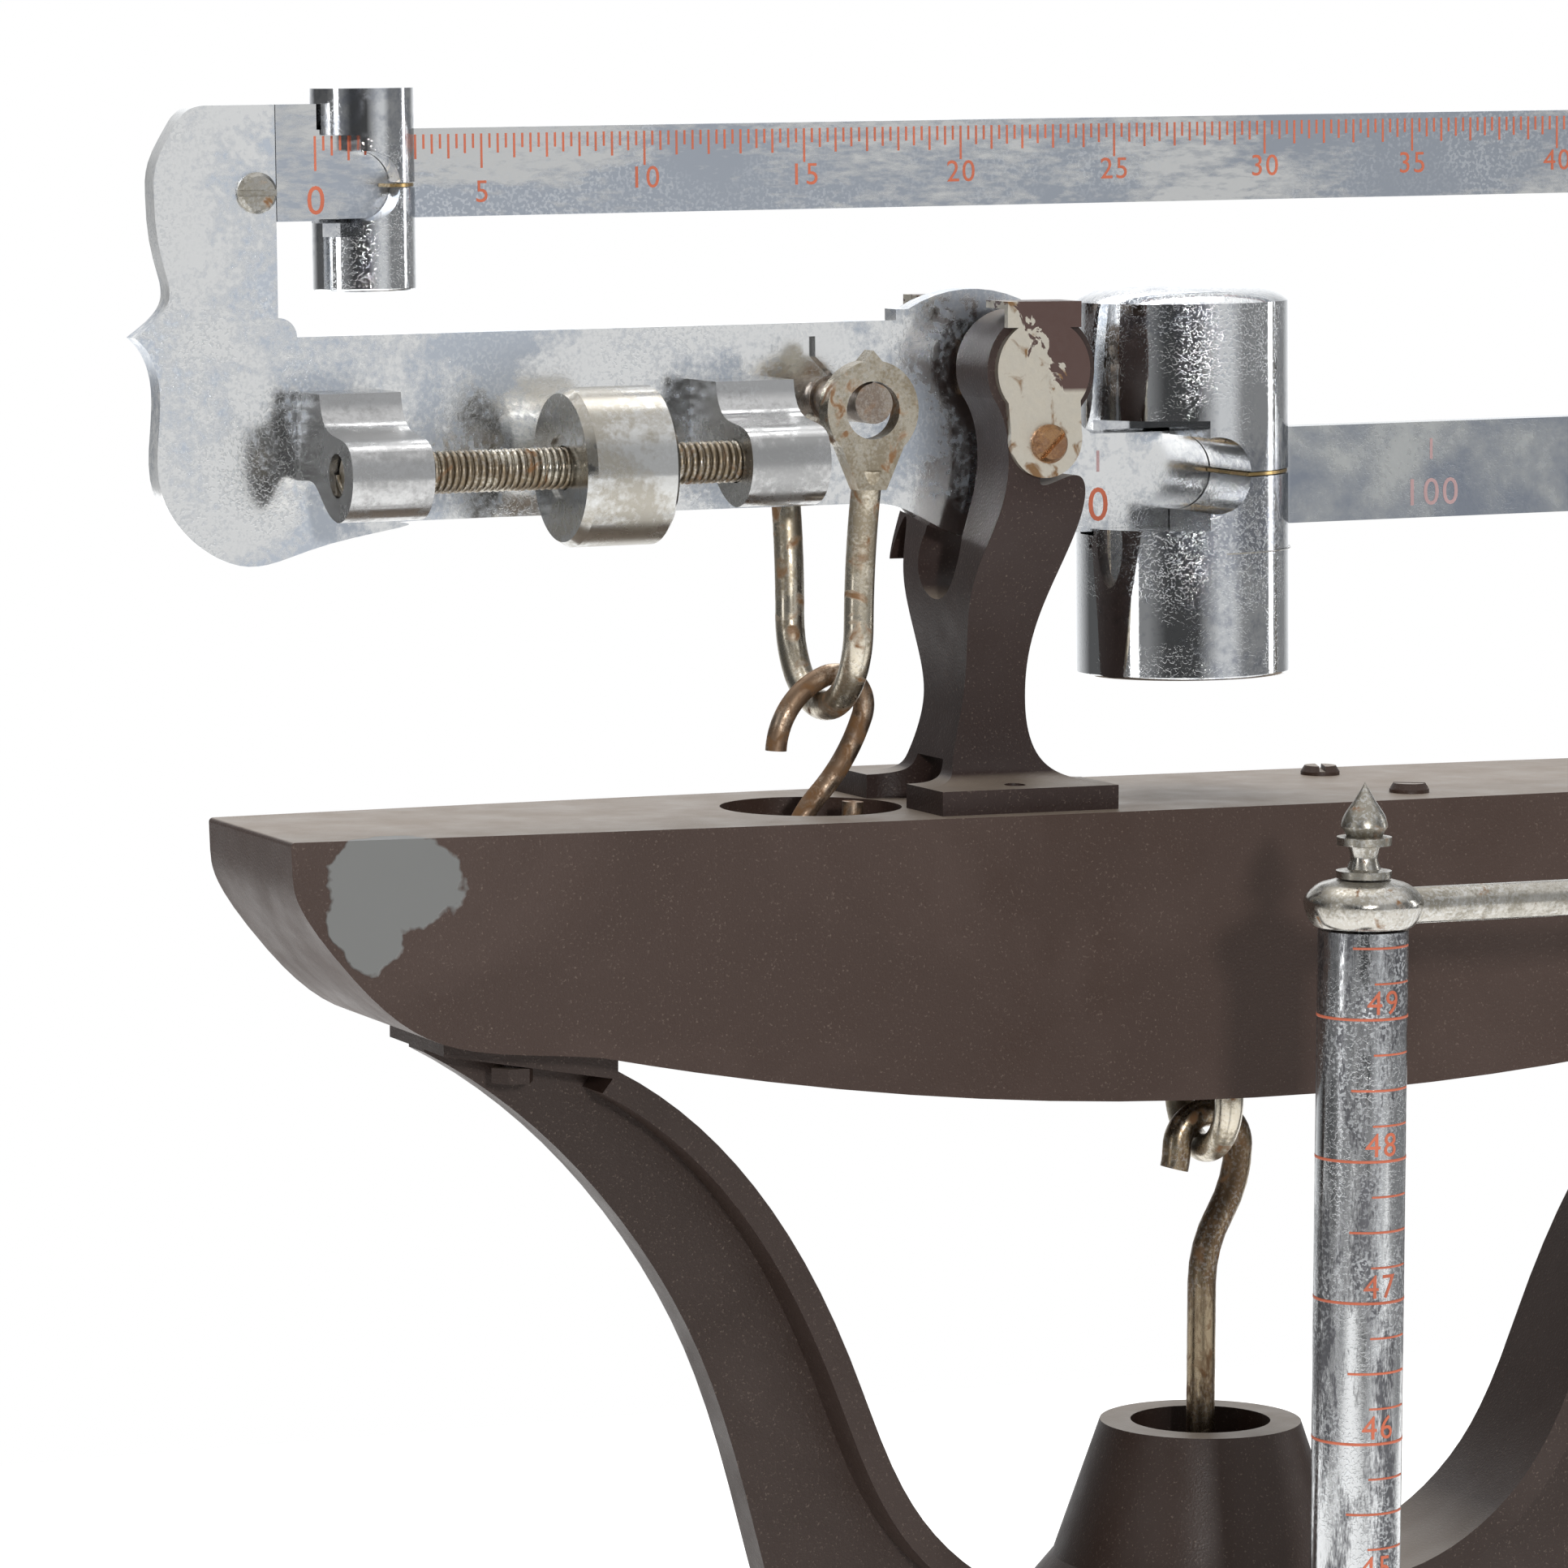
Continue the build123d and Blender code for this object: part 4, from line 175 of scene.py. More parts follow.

# %% [markdown]
# The castings carry a dark brown wrinkle enamel. It is almost matt, with a fine sparkle where the
# wrinkles catch the light. At one corner of the shelf a chip goes down to the grey metal. The sparkle
# is a fine bump with crests painted lighter, a painted highlight, and the chip is two ragged blobs
# fixed to a place on the piece.


# %% Brown wrinkle enamel
PAINTED_CREST_GLINT = (0.26, 0.20, 0.16)
PAINTED_TOP_SHEEN = (0.34, 0.28, 0.22)
BARE_IRON = (0.140, 0.142, 0.138)
WRINKLE_DEPTH = 0.07 * MM


def enamel(name, colour, chips=()):
    """Brown enamel with wrinkle relief, rubbed patches, a painted sheen on upward faces and optional bare
    grey chips.
    """
    recipe = Recipe(name)
    wrinkle = recipe.noise(2100, 2.0)
    rubbed = recipe.ramp(recipe.noise(22, 5.0, distort=0.6), 0.42, 0.68)
    worn = tuple(min(1.0, channel * 1.35 + 0.012) for channel in colour)
    shade = recipe.mix(recipe.math("MULTIPLY", rubbed, 0.55), colour, worn)
    # The wrinkle crests are painted lighter: a painted highlight where the wrinkles catch the light.
    shade = recipe.mix(recipe.ramp(wrinkle, 0.62, 0.76, 0.0, 0.30), shade, PAINTED_CREST_GLINT)
    # Faces that look up are mixed towards a lighter colour: a painted sheen on the top faces.
    facing = recipe.tree.nodes.new("ShaderNodeNewGeometry").outputs["Normal"]
    split = recipe.tree.nodes.new("ShaderNodeSeparateXYZ")
    recipe.link(facing, split.inputs[0])
    top_sheen = recipe.ramp(split.outputs["Z"], 0.75, 1.0, 0.0, 0.50)
    shade = recipe.mix(top_sheen, shade, PAINTED_TOP_SHEEN)
    rough = recipe.ramp(recipe.noise(90, 3.0), 0.3, 0.7, 0.40, 0.56)
    relief = wrinkle
    for centre, size in chips:
        bare = recipe.blob(centre, size, 0.28)
        shade = recipe.mix(bare, shade, BARE_IRON)
        relief = recipe.math("MULTIPLY", relief, recipe.math("SUBTRACT", 1.0, bare))
        relief = recipe.math("SUBTRACT", relief, recipe.math("MULTIPLY", bare, 1.5))
    recipe.shader.inputs["Specular IOR Level"].default_value = 0.36
    return recipe.finish(shade, rough, 0.0, relief, WRINKLE_DEPTH)


shelf_low, shelf_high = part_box("shelf")
CORNER = Vector((shelf_low.x, shelf_low.y, shelf_high.z))
chip_places = (
    ((CORNER.x + 19 * MM, 0.155, CORNER.z - 8 * MM), (13 * MM, 0.012, 9.5 * MM)),
    ((CORNER.x + 14 * MM, 0.155, CORNER.z - 15 * MM), (7 * MM, 0.012, 8.5 * MM)),
)
BROWN = (0.036, 0.0185, 0.0125)
shelf_enamel = enamel("shelf_enamel", BROWN, chip_places)
casting_enamel = enamel("casting_enamel", (0.024, 0.0125, 0.0085))
stand_enamel = enamel("stand_enamel", (0.020, 0.0085, 0.0060))
print("enamels:", shelf_enamel.name, casting_enamel.name, stand_enamel.name)

# %% [markdown]
# The beam, the poises and the small fittings are nickel plated. Old plate is bright with a cool grey
# bloom, and fine light specks where it has lifted. A cloudy noise makes the bloom, a finer grain
# breaks its edge, and a very fine noise, let through in patches only, makes the specks. A streak
# factor draws cloud and grain out along a long piece.


# %% Worn nickel plate
SPECK = (0.72, 0.74, 0.76)
RUST = (0.20, 0.105, 0.045)
DARKER_END_LOW = (0.24, 0.27, 0.33)
DARKER_END_HIGH = (0.50, 0.51, 0.50)
DARKER_END_EDGE = 0.004
GRAIN_DEPTH = 0.012 * MM


def plate(name, bright, bloom, cloud, cover, rough, speck, rust=0.0, streak=(1, 1, 1), darker_end_x=None):
    """Metal that is bright where rubbed and dull under the bloom, rusty if asked, and darker and greyer
    beyond an X if asked.
    """
    recipe = Recipe(name)
    clouds = recipe.noise(cloud, 6.0, streak, 0.62, 0.4)
    grain = recipe.noise(cloud * 18, 3.0, streak)
    middle = 0.80 - cover * 0.25
    grainy = recipe.math("ADD", clouds, recipe.math("MULTIPLY", grain, 0.35))
    dull = recipe.ramp(grainy, middle - 0.07, middle + 0.07)
    specks = recipe.ramp(recipe.noise(1500, 3.0), 0.52, 0.57)
    where = recipe.ramp(recipe.noise(48, 3.0), 0.38, 0.60)
    specks = recipe.math("MULTIPLY", recipe.math("MULTIPLY", specks, where), speck)
    shade = recipe.mix(dull, bright, bloom)
    shade = recipe.mix(specks, shade, SPECK)
    # Beyond a given X the colour turns darker and greyer, with cloudy variation.
    if darker_end_x is not None:
        beyond = recipe.ramp(recipe.axis("X"), darker_end_x, darker_end_x + DARKER_END_EDGE)
        darker_colour = recipe.mix(recipe.ramp(clouds, 0.42, 0.60), DARKER_END_LOW, DARKER_END_HIGH)
        shade = recipe.mix(recipe.math("MULTIPLY", beyond, 0.9), shade, darker_colour)
    roughness = recipe.ramp(dull, 0.0, 1.0, *rough)
    metallic = 1.0
    if rust:
        spots = recipe.ramp(recipe.noise(230, 5.0, distort=0.8), 0.68 - 0.22 * rust, 0.74 - 0.12 * rust)
        shade = recipe.mix(spots, shade, RUST)
        roughness = recipe.math("ADD", roughness, recipe.math("MULTIPLY", spots, 0.35))
        metallic = recipe.ramp(spots, 0.0, 1.0, 1.0, 0.35)
    relief = recipe.math("ADD", recipe.math("MULTIPLY", grain, 0.4), specks)
    return recipe.finish(shade, roughness, metallic, relief, GRAIN_DEPTH)


ALONG_X = (0.3, 1, 1)
ALONG_Z = (1, 1, 0.22)
PALE = (0.97, 0.97, 0.96)
beam_plate = plate("beam_plate", PALE, (0.50, 0.54, 0.60), 42, 0.32, (0.13, 0.34), 0.6, darker_end_x=0.012)
bar_plate = plate(
    "bar_plate", (0.76, 0.76, 0.75), (0.36, 0.39, 0.44), 60, 0.5, (0.16, 0.36), 0.4, streak=ALONG_X
)
poise_plate = plate("poise_plate", (0.80, 0.81, 0.82), (0.45, 0.47, 0.52), 30, 0.16, (0.04, 0.16), 1.0)
bracket_plate = plate("bracket_plate", (0.46, 0.46, 0.46), (0.32, 0.32, 0.32), 50, 0.5, (0.16, 0.34), 0.15)
ball_plate = plate("ball_plate", (0.50, 0.50, 0.49), (0.34, 0.32, 0.28), 40, 0.4, (0.12, 0.30), 0.2)
loop_nickel = plate(
    "loop_nickel", (0.54, 0.49, 0.40), (0.26, 0.22, 0.16), 90, 0.5, (0.22, 0.42), 0.15, rust=0.55
)
rod_chrome = plate(
    "rod_chrome", (0.66, 0.67, 0.68), (0.13, 0.13, 0.14), 170, 0.56, (0.10, 0.34), 0.7, streak=ALONG_Z
)
fitting_nickel = plate(
    "fitting_nickel", (0.46, 0.44, 0.40), (0.27, 0.25, 0.21), 90, 0.5, (0.16, 0.38), 0.3, rust=0.3
)
print("plated finishes ready")

# %% [markdown]
# The hook and the rod below it are bare steel under a thin brown film. Screws, knives and hidden
# fittings use two other steels, and brass, bronze, iron, rubber and marking paint complete the set.

# %% Steel, brass, iron, rubber and marking paint
hook_steel = plate("hook_steel", (0.42, 0.33, 0.25), (0.22, 0.15, 0.10), 150, 0.7, (0.30, 0.55), 0.1, 0.9)
rod_steel = plate(
    "rod_steel", (0.34, 0.27, 0.18), (0.15, 0.10, 0.06), 120, 0.6, (0.24, 0.45), 0.2, 0.6, (1, 1, 0.3)
)
knife_steel = plate("knife_steel", (0.36, 0.31, 0.26), (0.20, 0.16, 0.13), 160, 0.6, (0.3, 0.5), 0.1, 0.5)
screw_steel = plate("screw_steel", (0.44, 0.42, 0.39), (0.24, 0.22, 0.19), 160, 0.6, (0.22, 0.45), 0.2, 0.4)
old_brass = plate("old_brass", (0.58, 0.40, 0.17), (0.36, 0.24, 0.10), 140, 0.5, (0.2, 0.42), 0.1)
bronze = plate("bronze", (0.42, 0.24, 0.12), (0.22, 0.12, 0.07), 160, 0.5, (0.25, 0.45), 0.1)


def plain_finish(name, colour, rough, grain, depth):
    """A simple finish: one colour with a cloudy variation and a fine relief."""
    recipe = Recipe(name)
    cloud = recipe.ramp(recipe.noise(45, 4.0), 0.3, 0.7)
    shade = recipe.mix(cloud, colour, tuple(channel * 1.35 for channel in colour))
    roughness = recipe.ramp(recipe.noise(130, 3.0), 0.3, 0.7, rough, rough + 0.15)
    return recipe.finish(shade, roughness, 0.0, recipe.noise(grain, 2.0), depth)


lever_iron = plain_finish("lever_iron", (0.055, 0.053, 0.050), 0.5, 900, 0.00015)
black_rubber = plain_finish("black_rubber", (0.018, 0.018, 0.018), 0.62, 1600, 0.00005)
red_paint = plain_finish("red_paint", (0.40, 0.095, 0.045), 0.5, 2500, 0.00001)
faded_paint = plain_finish("faded_paint", (0.34, 0.22, 0.22), 0.45, 2500, 0.00001)
print("other finishes ready")

# %% [markdown]
# The keyhole covers over the bearings were painted with the stand and have lost most of it. The
# paint that is left sits at the top right of each cover, with a torn edge.


# %% Peeling cover finish
def peeling_cover():
    """Dull nickel with what is left of a coat of brown paint."""
    recipe = Recipe("peeling_cover")
    low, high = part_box("bearing_caps")
    middle = (low + high) / 2
    ragged = recipe.ramp(recipe.noise(170, 6.0, distort=1.2), 0.36, 0.64, -0.9, 0.9)
    left = recipe.math("MULTIPLY", recipe.math("SUBTRACT", recipe.axis("X"), middle.x - 1.5 * MM), 260)
    height = recipe.math("MULTIPLY", recipe.math("SUBTRACT", recipe.axis("Z"), high.z - 13 * MM), 200)
    painted = recipe.ramp(recipe.math("ADD", recipe.math("ADD", left, height), ragged), 0.95, 1.05)
    lower = recipe.ramp(recipe.axis("Z"), high.z - 17 * MM, high.z - 16 * MM)
    painted = recipe.math("MULTIPLY", painted, lower)
    grain = recipe.noise(700, 4.0)
    rust = recipe.ramp(recipe.noise(210, 5.0, distort=0.8), 0.56, 0.66)
    shade = recipe.mix(rust, recipe.mix(grain, (0.66, 0.62, 0.54), (0.44, 0.40, 0.33)), (0.24, 0.14, 0.07))
    shade = recipe.mix(painted, shade, (0.060, 0.030, 0.024))
    metallic = recipe.ramp(painted, 0.0, 1.0, 0.9, 0.0)
    relief = recipe.math("ADD", recipe.math("MULTIPLY", painted, 2.0), grain)
    return recipe.finish(shade, recipe.ramp(grain, 0.3, 0.7, 0.30, 0.46), metallic, relief, 0.00003)


cover_finish = peeling_cover()
print("cover finish ready")

# %% [markdown]
# With the finishes made, every CAD piece gets its own. A finish is only swapped in the piece's
# material slots: the shapes stay exactly as the CAD model has them.

# %% Dress the CAD pieces
finish_of = {
    shelf_enamel: ["shelf", "stand_bolts", "hanger_screws"],
    stand_enamel: ["fulcrum_stand"],
    casting_enamel: [
        "yoke", "column", "base", "platform", "upper_rod_clamp", "lower_rod_clamp", "yoke_bolts",
    ],
    beam_plate: ["beam"],
    bar_plate: ["upper_bar"],
    poise_plate: ["small_poise", "big_poise"],
    bracket_plate: ["balance_brackets"],
    ball_plate: ["balance_ball", "ball_bush"],
    loop_nickel: ["load_loop", "steelyard_loop"],
    cover_finish: ["bearing_caps"],
    rod_chrome: ["height_tube", "height_inner_tube"],
    fitting_nickel: ["rod_cap", "finial", "head_arm", "beam_guide", "bar_screws", "guide_screws"],
    hook_steel: ["s_hook", "hook_pin"],
    rod_steel: ["steelyard_rod"],
    knife_steel: ["load_knife", "main_knife", "lever_knives", "fulcrum_bearings"],
    screw_steel: [
        "clamp_screws", "wheel_axle", "axle_caps", "levelling_feet", "long_lever_pins", "short_lever_pins",
        "lever_link", "rod_nut", "lever_hanger", "balance_screw",
    ],
    old_brass: ["small_poise_leaf", "big_poise_leaf"],
    bronze: ["cap_screws"],
    lever_iron: ["long_lever", "short_lever", "shelf_lever"],
    black_rubber: ["wheel_left", "wheel_right", "platform_mat"],
}
for finish, names in finish_of.items():
    for name in names:
        mesh = nodes[name].data
        mesh.materials.clear()
        mesh.materials.append(finish)
print("dressed", sum(len(names) for names in finish_of.values()), "pieces of", len(nodes))

# %% [markdown]
# Marks come in rows: the same small bar again and again, with every second, fourth and twentieth
# one longer. That is a rule, so Geometry Nodes draws it. One tree places a bar on each point of a
# line and picks its length from the point's number. It is used for both beam bars.


# %% Geometry Nodes: a row of marks
def socket_names(tree):
    """The identifier of each named input of a node tree."""
    return {item.name: item.identifier for item in tree.interface.items_tree if item.in_out == "INPUT"}


def input_of(tree, name, kind, value):
    """Adds one named input with a default value."""
    item = tree.interface.new_socket(name, in_out="INPUT", socket_type=kind)
    if kind != "NodeSocketMaterial":
        item.default_value = value


def start_tree(name, inputs):
    """A new geometry tree with its inputs, its first and its last node."""
    tree = bpy.data.node_groups.new(name, "GeometryNodeTree")
    for label, kind, value in inputs:
        input_of(tree, label, kind, value)
    tree.interface.new_socket("Geometry", in_out="OUTPUT", socket_type="NodeSocketGeometry")
    return tree, tree.nodes.new("NodeGroupInput"), tree.nodes.new("NodeGroupOutput")


def node(tree, kind, **sockets):
    """Adds a node and joins or sets its inputs by number, given as i0, i1 and so on."""
    made = tree.nodes.new(kind)
    for key, value in sockets.items():
        if key[0] == "i" and key[1:].isdigit():
            socket = made.inputs[int(key[1:])]
            if isinstance(value, bpy.types.NodeSocket):
                tree.links.new(value, socket)
            else:
                socket.default_value = value
        else:
            setattr(made, key, value)
    return made


def end_tree(tree, geometry, material_socket, last):
    """Realize Instances, Set Material, and out."""
    real = node(tree, "GeometryNodeRealizeInstances", i0=geometry)
    painted = node(tree, "GeometryNodeSetMaterial", i0=real.outputs[0], i2=material_socket)
    tree.links.new(painted.outputs[0], last.inputs[0])


def marks_tree():
    """A row of upright marks that hang from a line, each as long as its number says."""
    tree, given, last = start_tree("row_of_marks", (
        ("Count", "NodeSocketInt", 10), ("Step", "NodeSocketFloat", 0.001),
        ("Width", "NodeSocketFloat", 0.0003), ("Depth", "NodeSocketFloat", 0.00005),
        ("Length 1", "NodeSocketFloat", 0.002),
        ("Length 2", "NodeSocketFloat", 0.002), ("Length 4", "NodeSocketFloat", 0.002),
        ("Length 20", "NodeSocketFloat", 0.002), ("Material", "NodeSocketMaterial", None),
    ))
    out = given.outputs
    step = node(tree, "ShaderNodeCombineXYZ", i0=out["Step"])
    line = node(tree, "GeometryNodeMeshLine", i0=out["Count"], i3=step.outputs[0])
    index = node(tree, "GeometryNodeInputIndex").outputs[0]
    length = out["Length 1"]
    for every in (2, 4, 20):
        rest = node(tree, "ShaderNodeMath", operation="MODULO", i0=index, i1=float(every))
        hit = node(tree, "ShaderNodeMath", operation="LESS_THAN", i0=rest.outputs[0], i1=0.5)
        longer = out[f"Length {every}"]
        pick = node(tree, "GeometryNodeSwitch", input_type="FLOAT", i0=hit.outputs[0], i1=length, i2=longer)
        length = pick.outputs[0]
    size = node(tree, "ShaderNodeCombineXYZ", i0=out["Width"], i1=length, i2=out["Depth"])
    half = node(tree, "ShaderNodeVectorMath", operation="MULTIPLY", i0=size.outputs[0], i1=(0.0, -0.5, 0.0))
    moved = node(tree, "GeometryNodeSetPosition", i0=line.outputs[0], i3=half.outputs[0])
    bar = node(tree, "GeometryNodeMeshCube", i0=(1.0, 1.0, 1.0))
    row = node(tree, "GeometryNodeInstanceOnPoints", i0=moved.outputs[0], i2=bar.outputs[0])
    tree.links.new(size.outputs[0], row.inputs[6])
    end_tree(tree, row.outputs[0], out["Material"], last)
    return tree


def grow(name, tree, settings):
    """Runs a geometry tree with these settings and returns the result as a plain mesh object."""
    seed = bpy.data.meshes.new(name + "_seed")
    holder = bpy.data.objects.new(name, seed)
    bpy.context.scene.collection.objects.link(holder)
    modifier = holder.modifiers.new("grow", "NODES")
    modifier.node_group = tree
    identifiers = socket_names(tree)
    for label, value in settings.items():
        modifier[identifiers[label]] = value
    graph = bpy.context.evaluated_depsgraph_get()
    mesh = bpy.data.meshes.new_from_object(holder.evaluated_get(graph))
    holder.modifiers.remove(modifier)
    holder.data = mesh
    mesh.name = name
    return holder


mark_row = marks_tree()
print("mark tree inputs:", sorted(socket_names(mark_row)))

# %% [markdown]
# The upper bar counts fifty pounds in quarters, a quarter of an inch to the pound. The lower bar has
# one mark for every fifty pounds.

# %% Marks of the two bars
POUND = 6.35
ZERO = -134.0
UPPER_TOP = 47.0
LOWER_ZERO = 21.0
FIFTY = 35.7
upper_marks = grow("upper_marks", mark_row, {
    "Count": 201, "Step": POUND / 4 * MM, "Width": 0.42 * MM, "Depth": 0.06 * MM, "Length 1": 2.6 * MM,
    "Length 2": 3.5 * MM, "Length 4": 4.4 * MM, "Length 20": 6.2 * MM, "Material": red_paint,
})
upper_marks.data.transform(beam_matrix(ZERO, UPPER_TOP - 1.1, 0.01))
lower_marks = grow("lower_marks", mark_row, {
    "Count": 5, "Step": FIFTY * MM, "Width": 0.6 * MM, "Depth": 0.06 * MM, "Length 1": 4.0 * MM,
    "Length 2": 4.0 * MM, "Length 4": 4.0 * MM, "Length 20": 4.0 * MM, "Material": faded_paint,
})
lower_marks.data.transform(beam_matrix(LOWER_ZERO, -15.4, 0.01))
for marks in (upper_marks, lower_marks):
    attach(marks, "beam")
print("marks:", len(upper_marks.data.polygons) // 6, "and", len(lower_marks.data.polygons) // 6)

# %% [markdown]
# Numbers are text objects. Each becomes a mesh before it is placed, and the numbers of one bar are
# joined into one object. The lower bar's zero is taller than the rest and stays an object of its own.


# %% Numbers
SIZE_PER_HEIGHT = 1.38


def number_mesh(text, height, material):
    """A number as a flat mesh, centred across and standing on its base line, in metres."""
    words = bpy.data.curves.new("number", "FONT")
    words.body = text
    words.size = height * SIZE_PER_HEIGHT
    words.align_x = "CENTER"
    words.extrude = 0.03 * MM
    words.resolution_u = 4
    words.space_character = 1.12
    holder = bpy.data.objects.new("number", words)
    bpy.context.scene.collection.objects.link(holder)
    graph = bpy.context.evaluated_depsgraph_get()
    mesh = bpy.data.meshes.new_from_object(holder.evaluated_get(graph))
    bpy.data.objects.remove(holder)
    mesh.materials.clear()
    mesh.materials.append(material)
    return mesh


def joined(name, meshes):
    """One object from several meshes that share a material."""
    whole = bmesh.new()
    for mesh in meshes:
        whole.from_mesh(mesh)
    result = bpy.data.meshes.new(name)
    whole.to_mesh(result)
    whole.free()
    result.materials.append(meshes[0].materials[0])
    thing = bpy.data.objects.new(name, result)
    bpy.context.scene.collection.objects.link(thing)
    return thing


upper_numbers = []
for pounds in range(0, 55, 5):
    tall = 5.3 if pounds == 0 else 4.1
    base_line = -15.0 if pounds == 0 else -13.4 if pounds == 5 else -11.4
    mesh = number_mesh(str(pounds), tall * MM, red_paint)
    mesh.transform(beam_matrix(ZERO + pounds * POUND, UPPER_TOP + base_line, 0.02))
    upper_numbers.append(mesh)
lower_numbers = []
for step in range(2, 5):
    mesh = number_mesh(str(50 * step), 5.4 * MM, faded_paint)
    mesh.transform(beam_matrix(LOWER_ZERO + step * FIFTY, -28.2, 0.02))
    lower_numbers.append(mesh)
for name, meshes in (("upper_numbers", upper_numbers), ("lower_numbers", lower_numbers)):
    numbers = joined(name, meshes)
    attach(numbers, "beam")
zero_marks = number_mesh("0", 6.6 * MM, red_paint)
zero_marks.transform(beam_matrix(LOWER_ZERO, -28.6, 0.02))
zero = joined("lower_zero", [zero_marks])
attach(zero, "beam")
print("numbers:", len(upper_numbers), "above,", len(lower_numbers) + 1, "below")

# %% [markdown]
# The height rod is read in inches. A full ring goes round it at every inch, with shorter arcs for the
# half and the quarters, and each number stands above its ring. Rings follow the rod's surface: a tree
# sweeps a flat strip along an arc and repeats it up the rod.


# %% Geometry Nodes: arcs round a rod
def arcs_tree():
    """Arcs of a flat strip, one above the other."""
    tree, given, last = start_tree("arcs_round_rod", (
        ("Count", "NodeSocketInt", 5), ("Step", "NodeSocketFloat", 0.0254),
        ("Radius", "NodeSocketFloat", 0.008), ("Start", "NodeSocketFloat", 0.0),
        ("Sweep", "NodeSocketFloat", 6.28), ("Width", "NodeSocketFloat", 0.0004),
        ("Material", "NodeSocketMaterial", None),
    ))
    out = given.outputs
    arc = node(tree, "GeometryNodeCurveArc", i0=48, i4=out["Radius"], i5=out["Start"], i6=out["Sweep"])
    strip = node(tree, "GeometryNodeCurvePrimitiveQuadrilateral", i0=0.00008, i1=out["Width"])
    ring = node(tree, "GeometryNodeCurveToMesh", i0=arc.outputs[0], i1=strip.outputs[0])
    step = node(tree, "ShaderNodeCombineXYZ", i2=out["Step"])
    line = node(tree, "GeometryNodeMeshLine", i0=out["Count"], i3=step.outputs[0])
    stack = node(tree, "GeometryNodeInstanceOnPoints", i0=line.outputs[0], i2=ring.outputs[0])
    end_tree(tree, stack.outputs[0], out["Material"], last)
    return tree


rod_arcs = arcs_tree()
tube_low, tube_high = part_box("height_tube")
rod_x = (tube_low.x + tube_high.x) / 2
rod_y = (tube_low.y + tube_high.y) / 2
rod_r = (tube_high.x - tube_low.x) / 2
INCH = 25.4 * MM
TOP_INCH = 49
TOP_MARK = tube_high.z - 0.6 * INCH
INCHES = 31
arc_rows = (
    ("inch_rings", 0.0, 0.0, 360.0, INCHES, 0.50),
    ("half_arcs", 0.5, -131.0, 92.0, INCHES, 0.42),
    ("quarter_arcs", 0.25, -103.0, 62.0, INCHES, 0.36),
    ("third_quarter_arcs", 0.75, -103.0, 62.0, INCHES, 0.36),
)
for name, lift, start, sweep, count, width in arc_rows:
    row = grow(name, rod_arcs, {
        "Count": count, "Step": -INCH, "Radius": rod_r + 0.02 * MM, "Start": math.radians(start),
        "Sweep": math.radians(sweep), "Width": width * MM, "Material": red_paint,
    })
    row.data.transform(Matrix.Translation((rod_x, rod_y, TOP_MARK + lift * INCH)))
    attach(row, "frame")
print("rod marks from", TOP_INCH, "inches down")

# %% [markdown]
# A hair line runs round the drum of the big poise, below its window. The same tree draws it, once, at
# the drum's radius.

# %% Seam of the big poise
SEAM_UP = -34.5
poise_low, poise_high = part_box("big_poise")
drum_r = (poise_high.y - poise_low.y) / 2
drum_along = ((poise_low + poise_high) / 2 - knife_edge).dot(along_beam) + 0.4 * MM
seam = grow("poise_seam", rod_arcs, {
    "Count": 1, "Step": INCH, "Radius": drum_r + 0.01 * MM, "Start": 0.0, "Sweep": math.radians(360),
    "Width": 0.28 * MM, "Material": ball_plate,
})
seam_turn = Matrix((along_beam, Vector((0, 1, 0)), across_beam)).transposed().to_4x4()
seam_place = knife_edge + along_beam * drum_along + across_beam * SEAM_UP * MM
seam.data.transform(Matrix.Translation(seam_place) @ seam_turn)
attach(seam, "big_poise")
print("seam faces:", len(seam.data.polygons))

# %% [markdown]
# Numbers on a rod cannot stay flat. Each is cut into narrow upright strips and bent to the rod's radius,
# as a transfer is rolled on to a pipe.


# %% Numbers round the rod
STRIP = 0.4 * MM


def wrapped(mesh, radius):
    """Cuts a flat number into narrow strips and bends it round a rod that faces the front."""
    shape = bmesh.new()
    shape.from_mesh(mesh)
    xs = [vertex.co.x for vertex in shape.verts]
    cut = min(xs) + STRIP
    while cut < max(xs):
        everything = shape.verts[:] + shape.edges[:] + shape.faces[:]
        bmesh.ops.bisect_plane(shape, geom=everything, plane_co=(cut, 0, 0), plane_no=(1, 0, 0))
        cut += STRIP
    for vertex in shape.verts:
        angle = vertex.co.x / radius - math.pi / 2
        out = radius + vertex.co.z
        vertex.co = (out * math.cos(angle), out * math.sin(angle), vertex.co.y)
    shape.to_mesh(mesh)
    shape.free()
    return mesh


rod_numbers = []
for count in range(INCHES):
    mesh = wrapped(number_mesh(str(TOP_INCH - count), 4.4 * MM, red_paint), rod_r + 0.03 * MM)
    mesh.transform(Matrix.Translation((rod_x, rod_y, TOP_MARK - count * INCH + 0.9 * MM)))
    rod_numbers.append(mesh)
numbers = joined("rod_numbers", rod_numbers)
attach(numbers, "frame")
print("rod numbers:", len(rod_numbers))

# %% [markdown]
# The balance ball runs on a threaded rod. A thread is a helix, the plainest rule-shaped piece there
# is: a core, and a ridge swept along a spiral of the thread's pitch. This object stands for the plain
# rod of the CAD model.


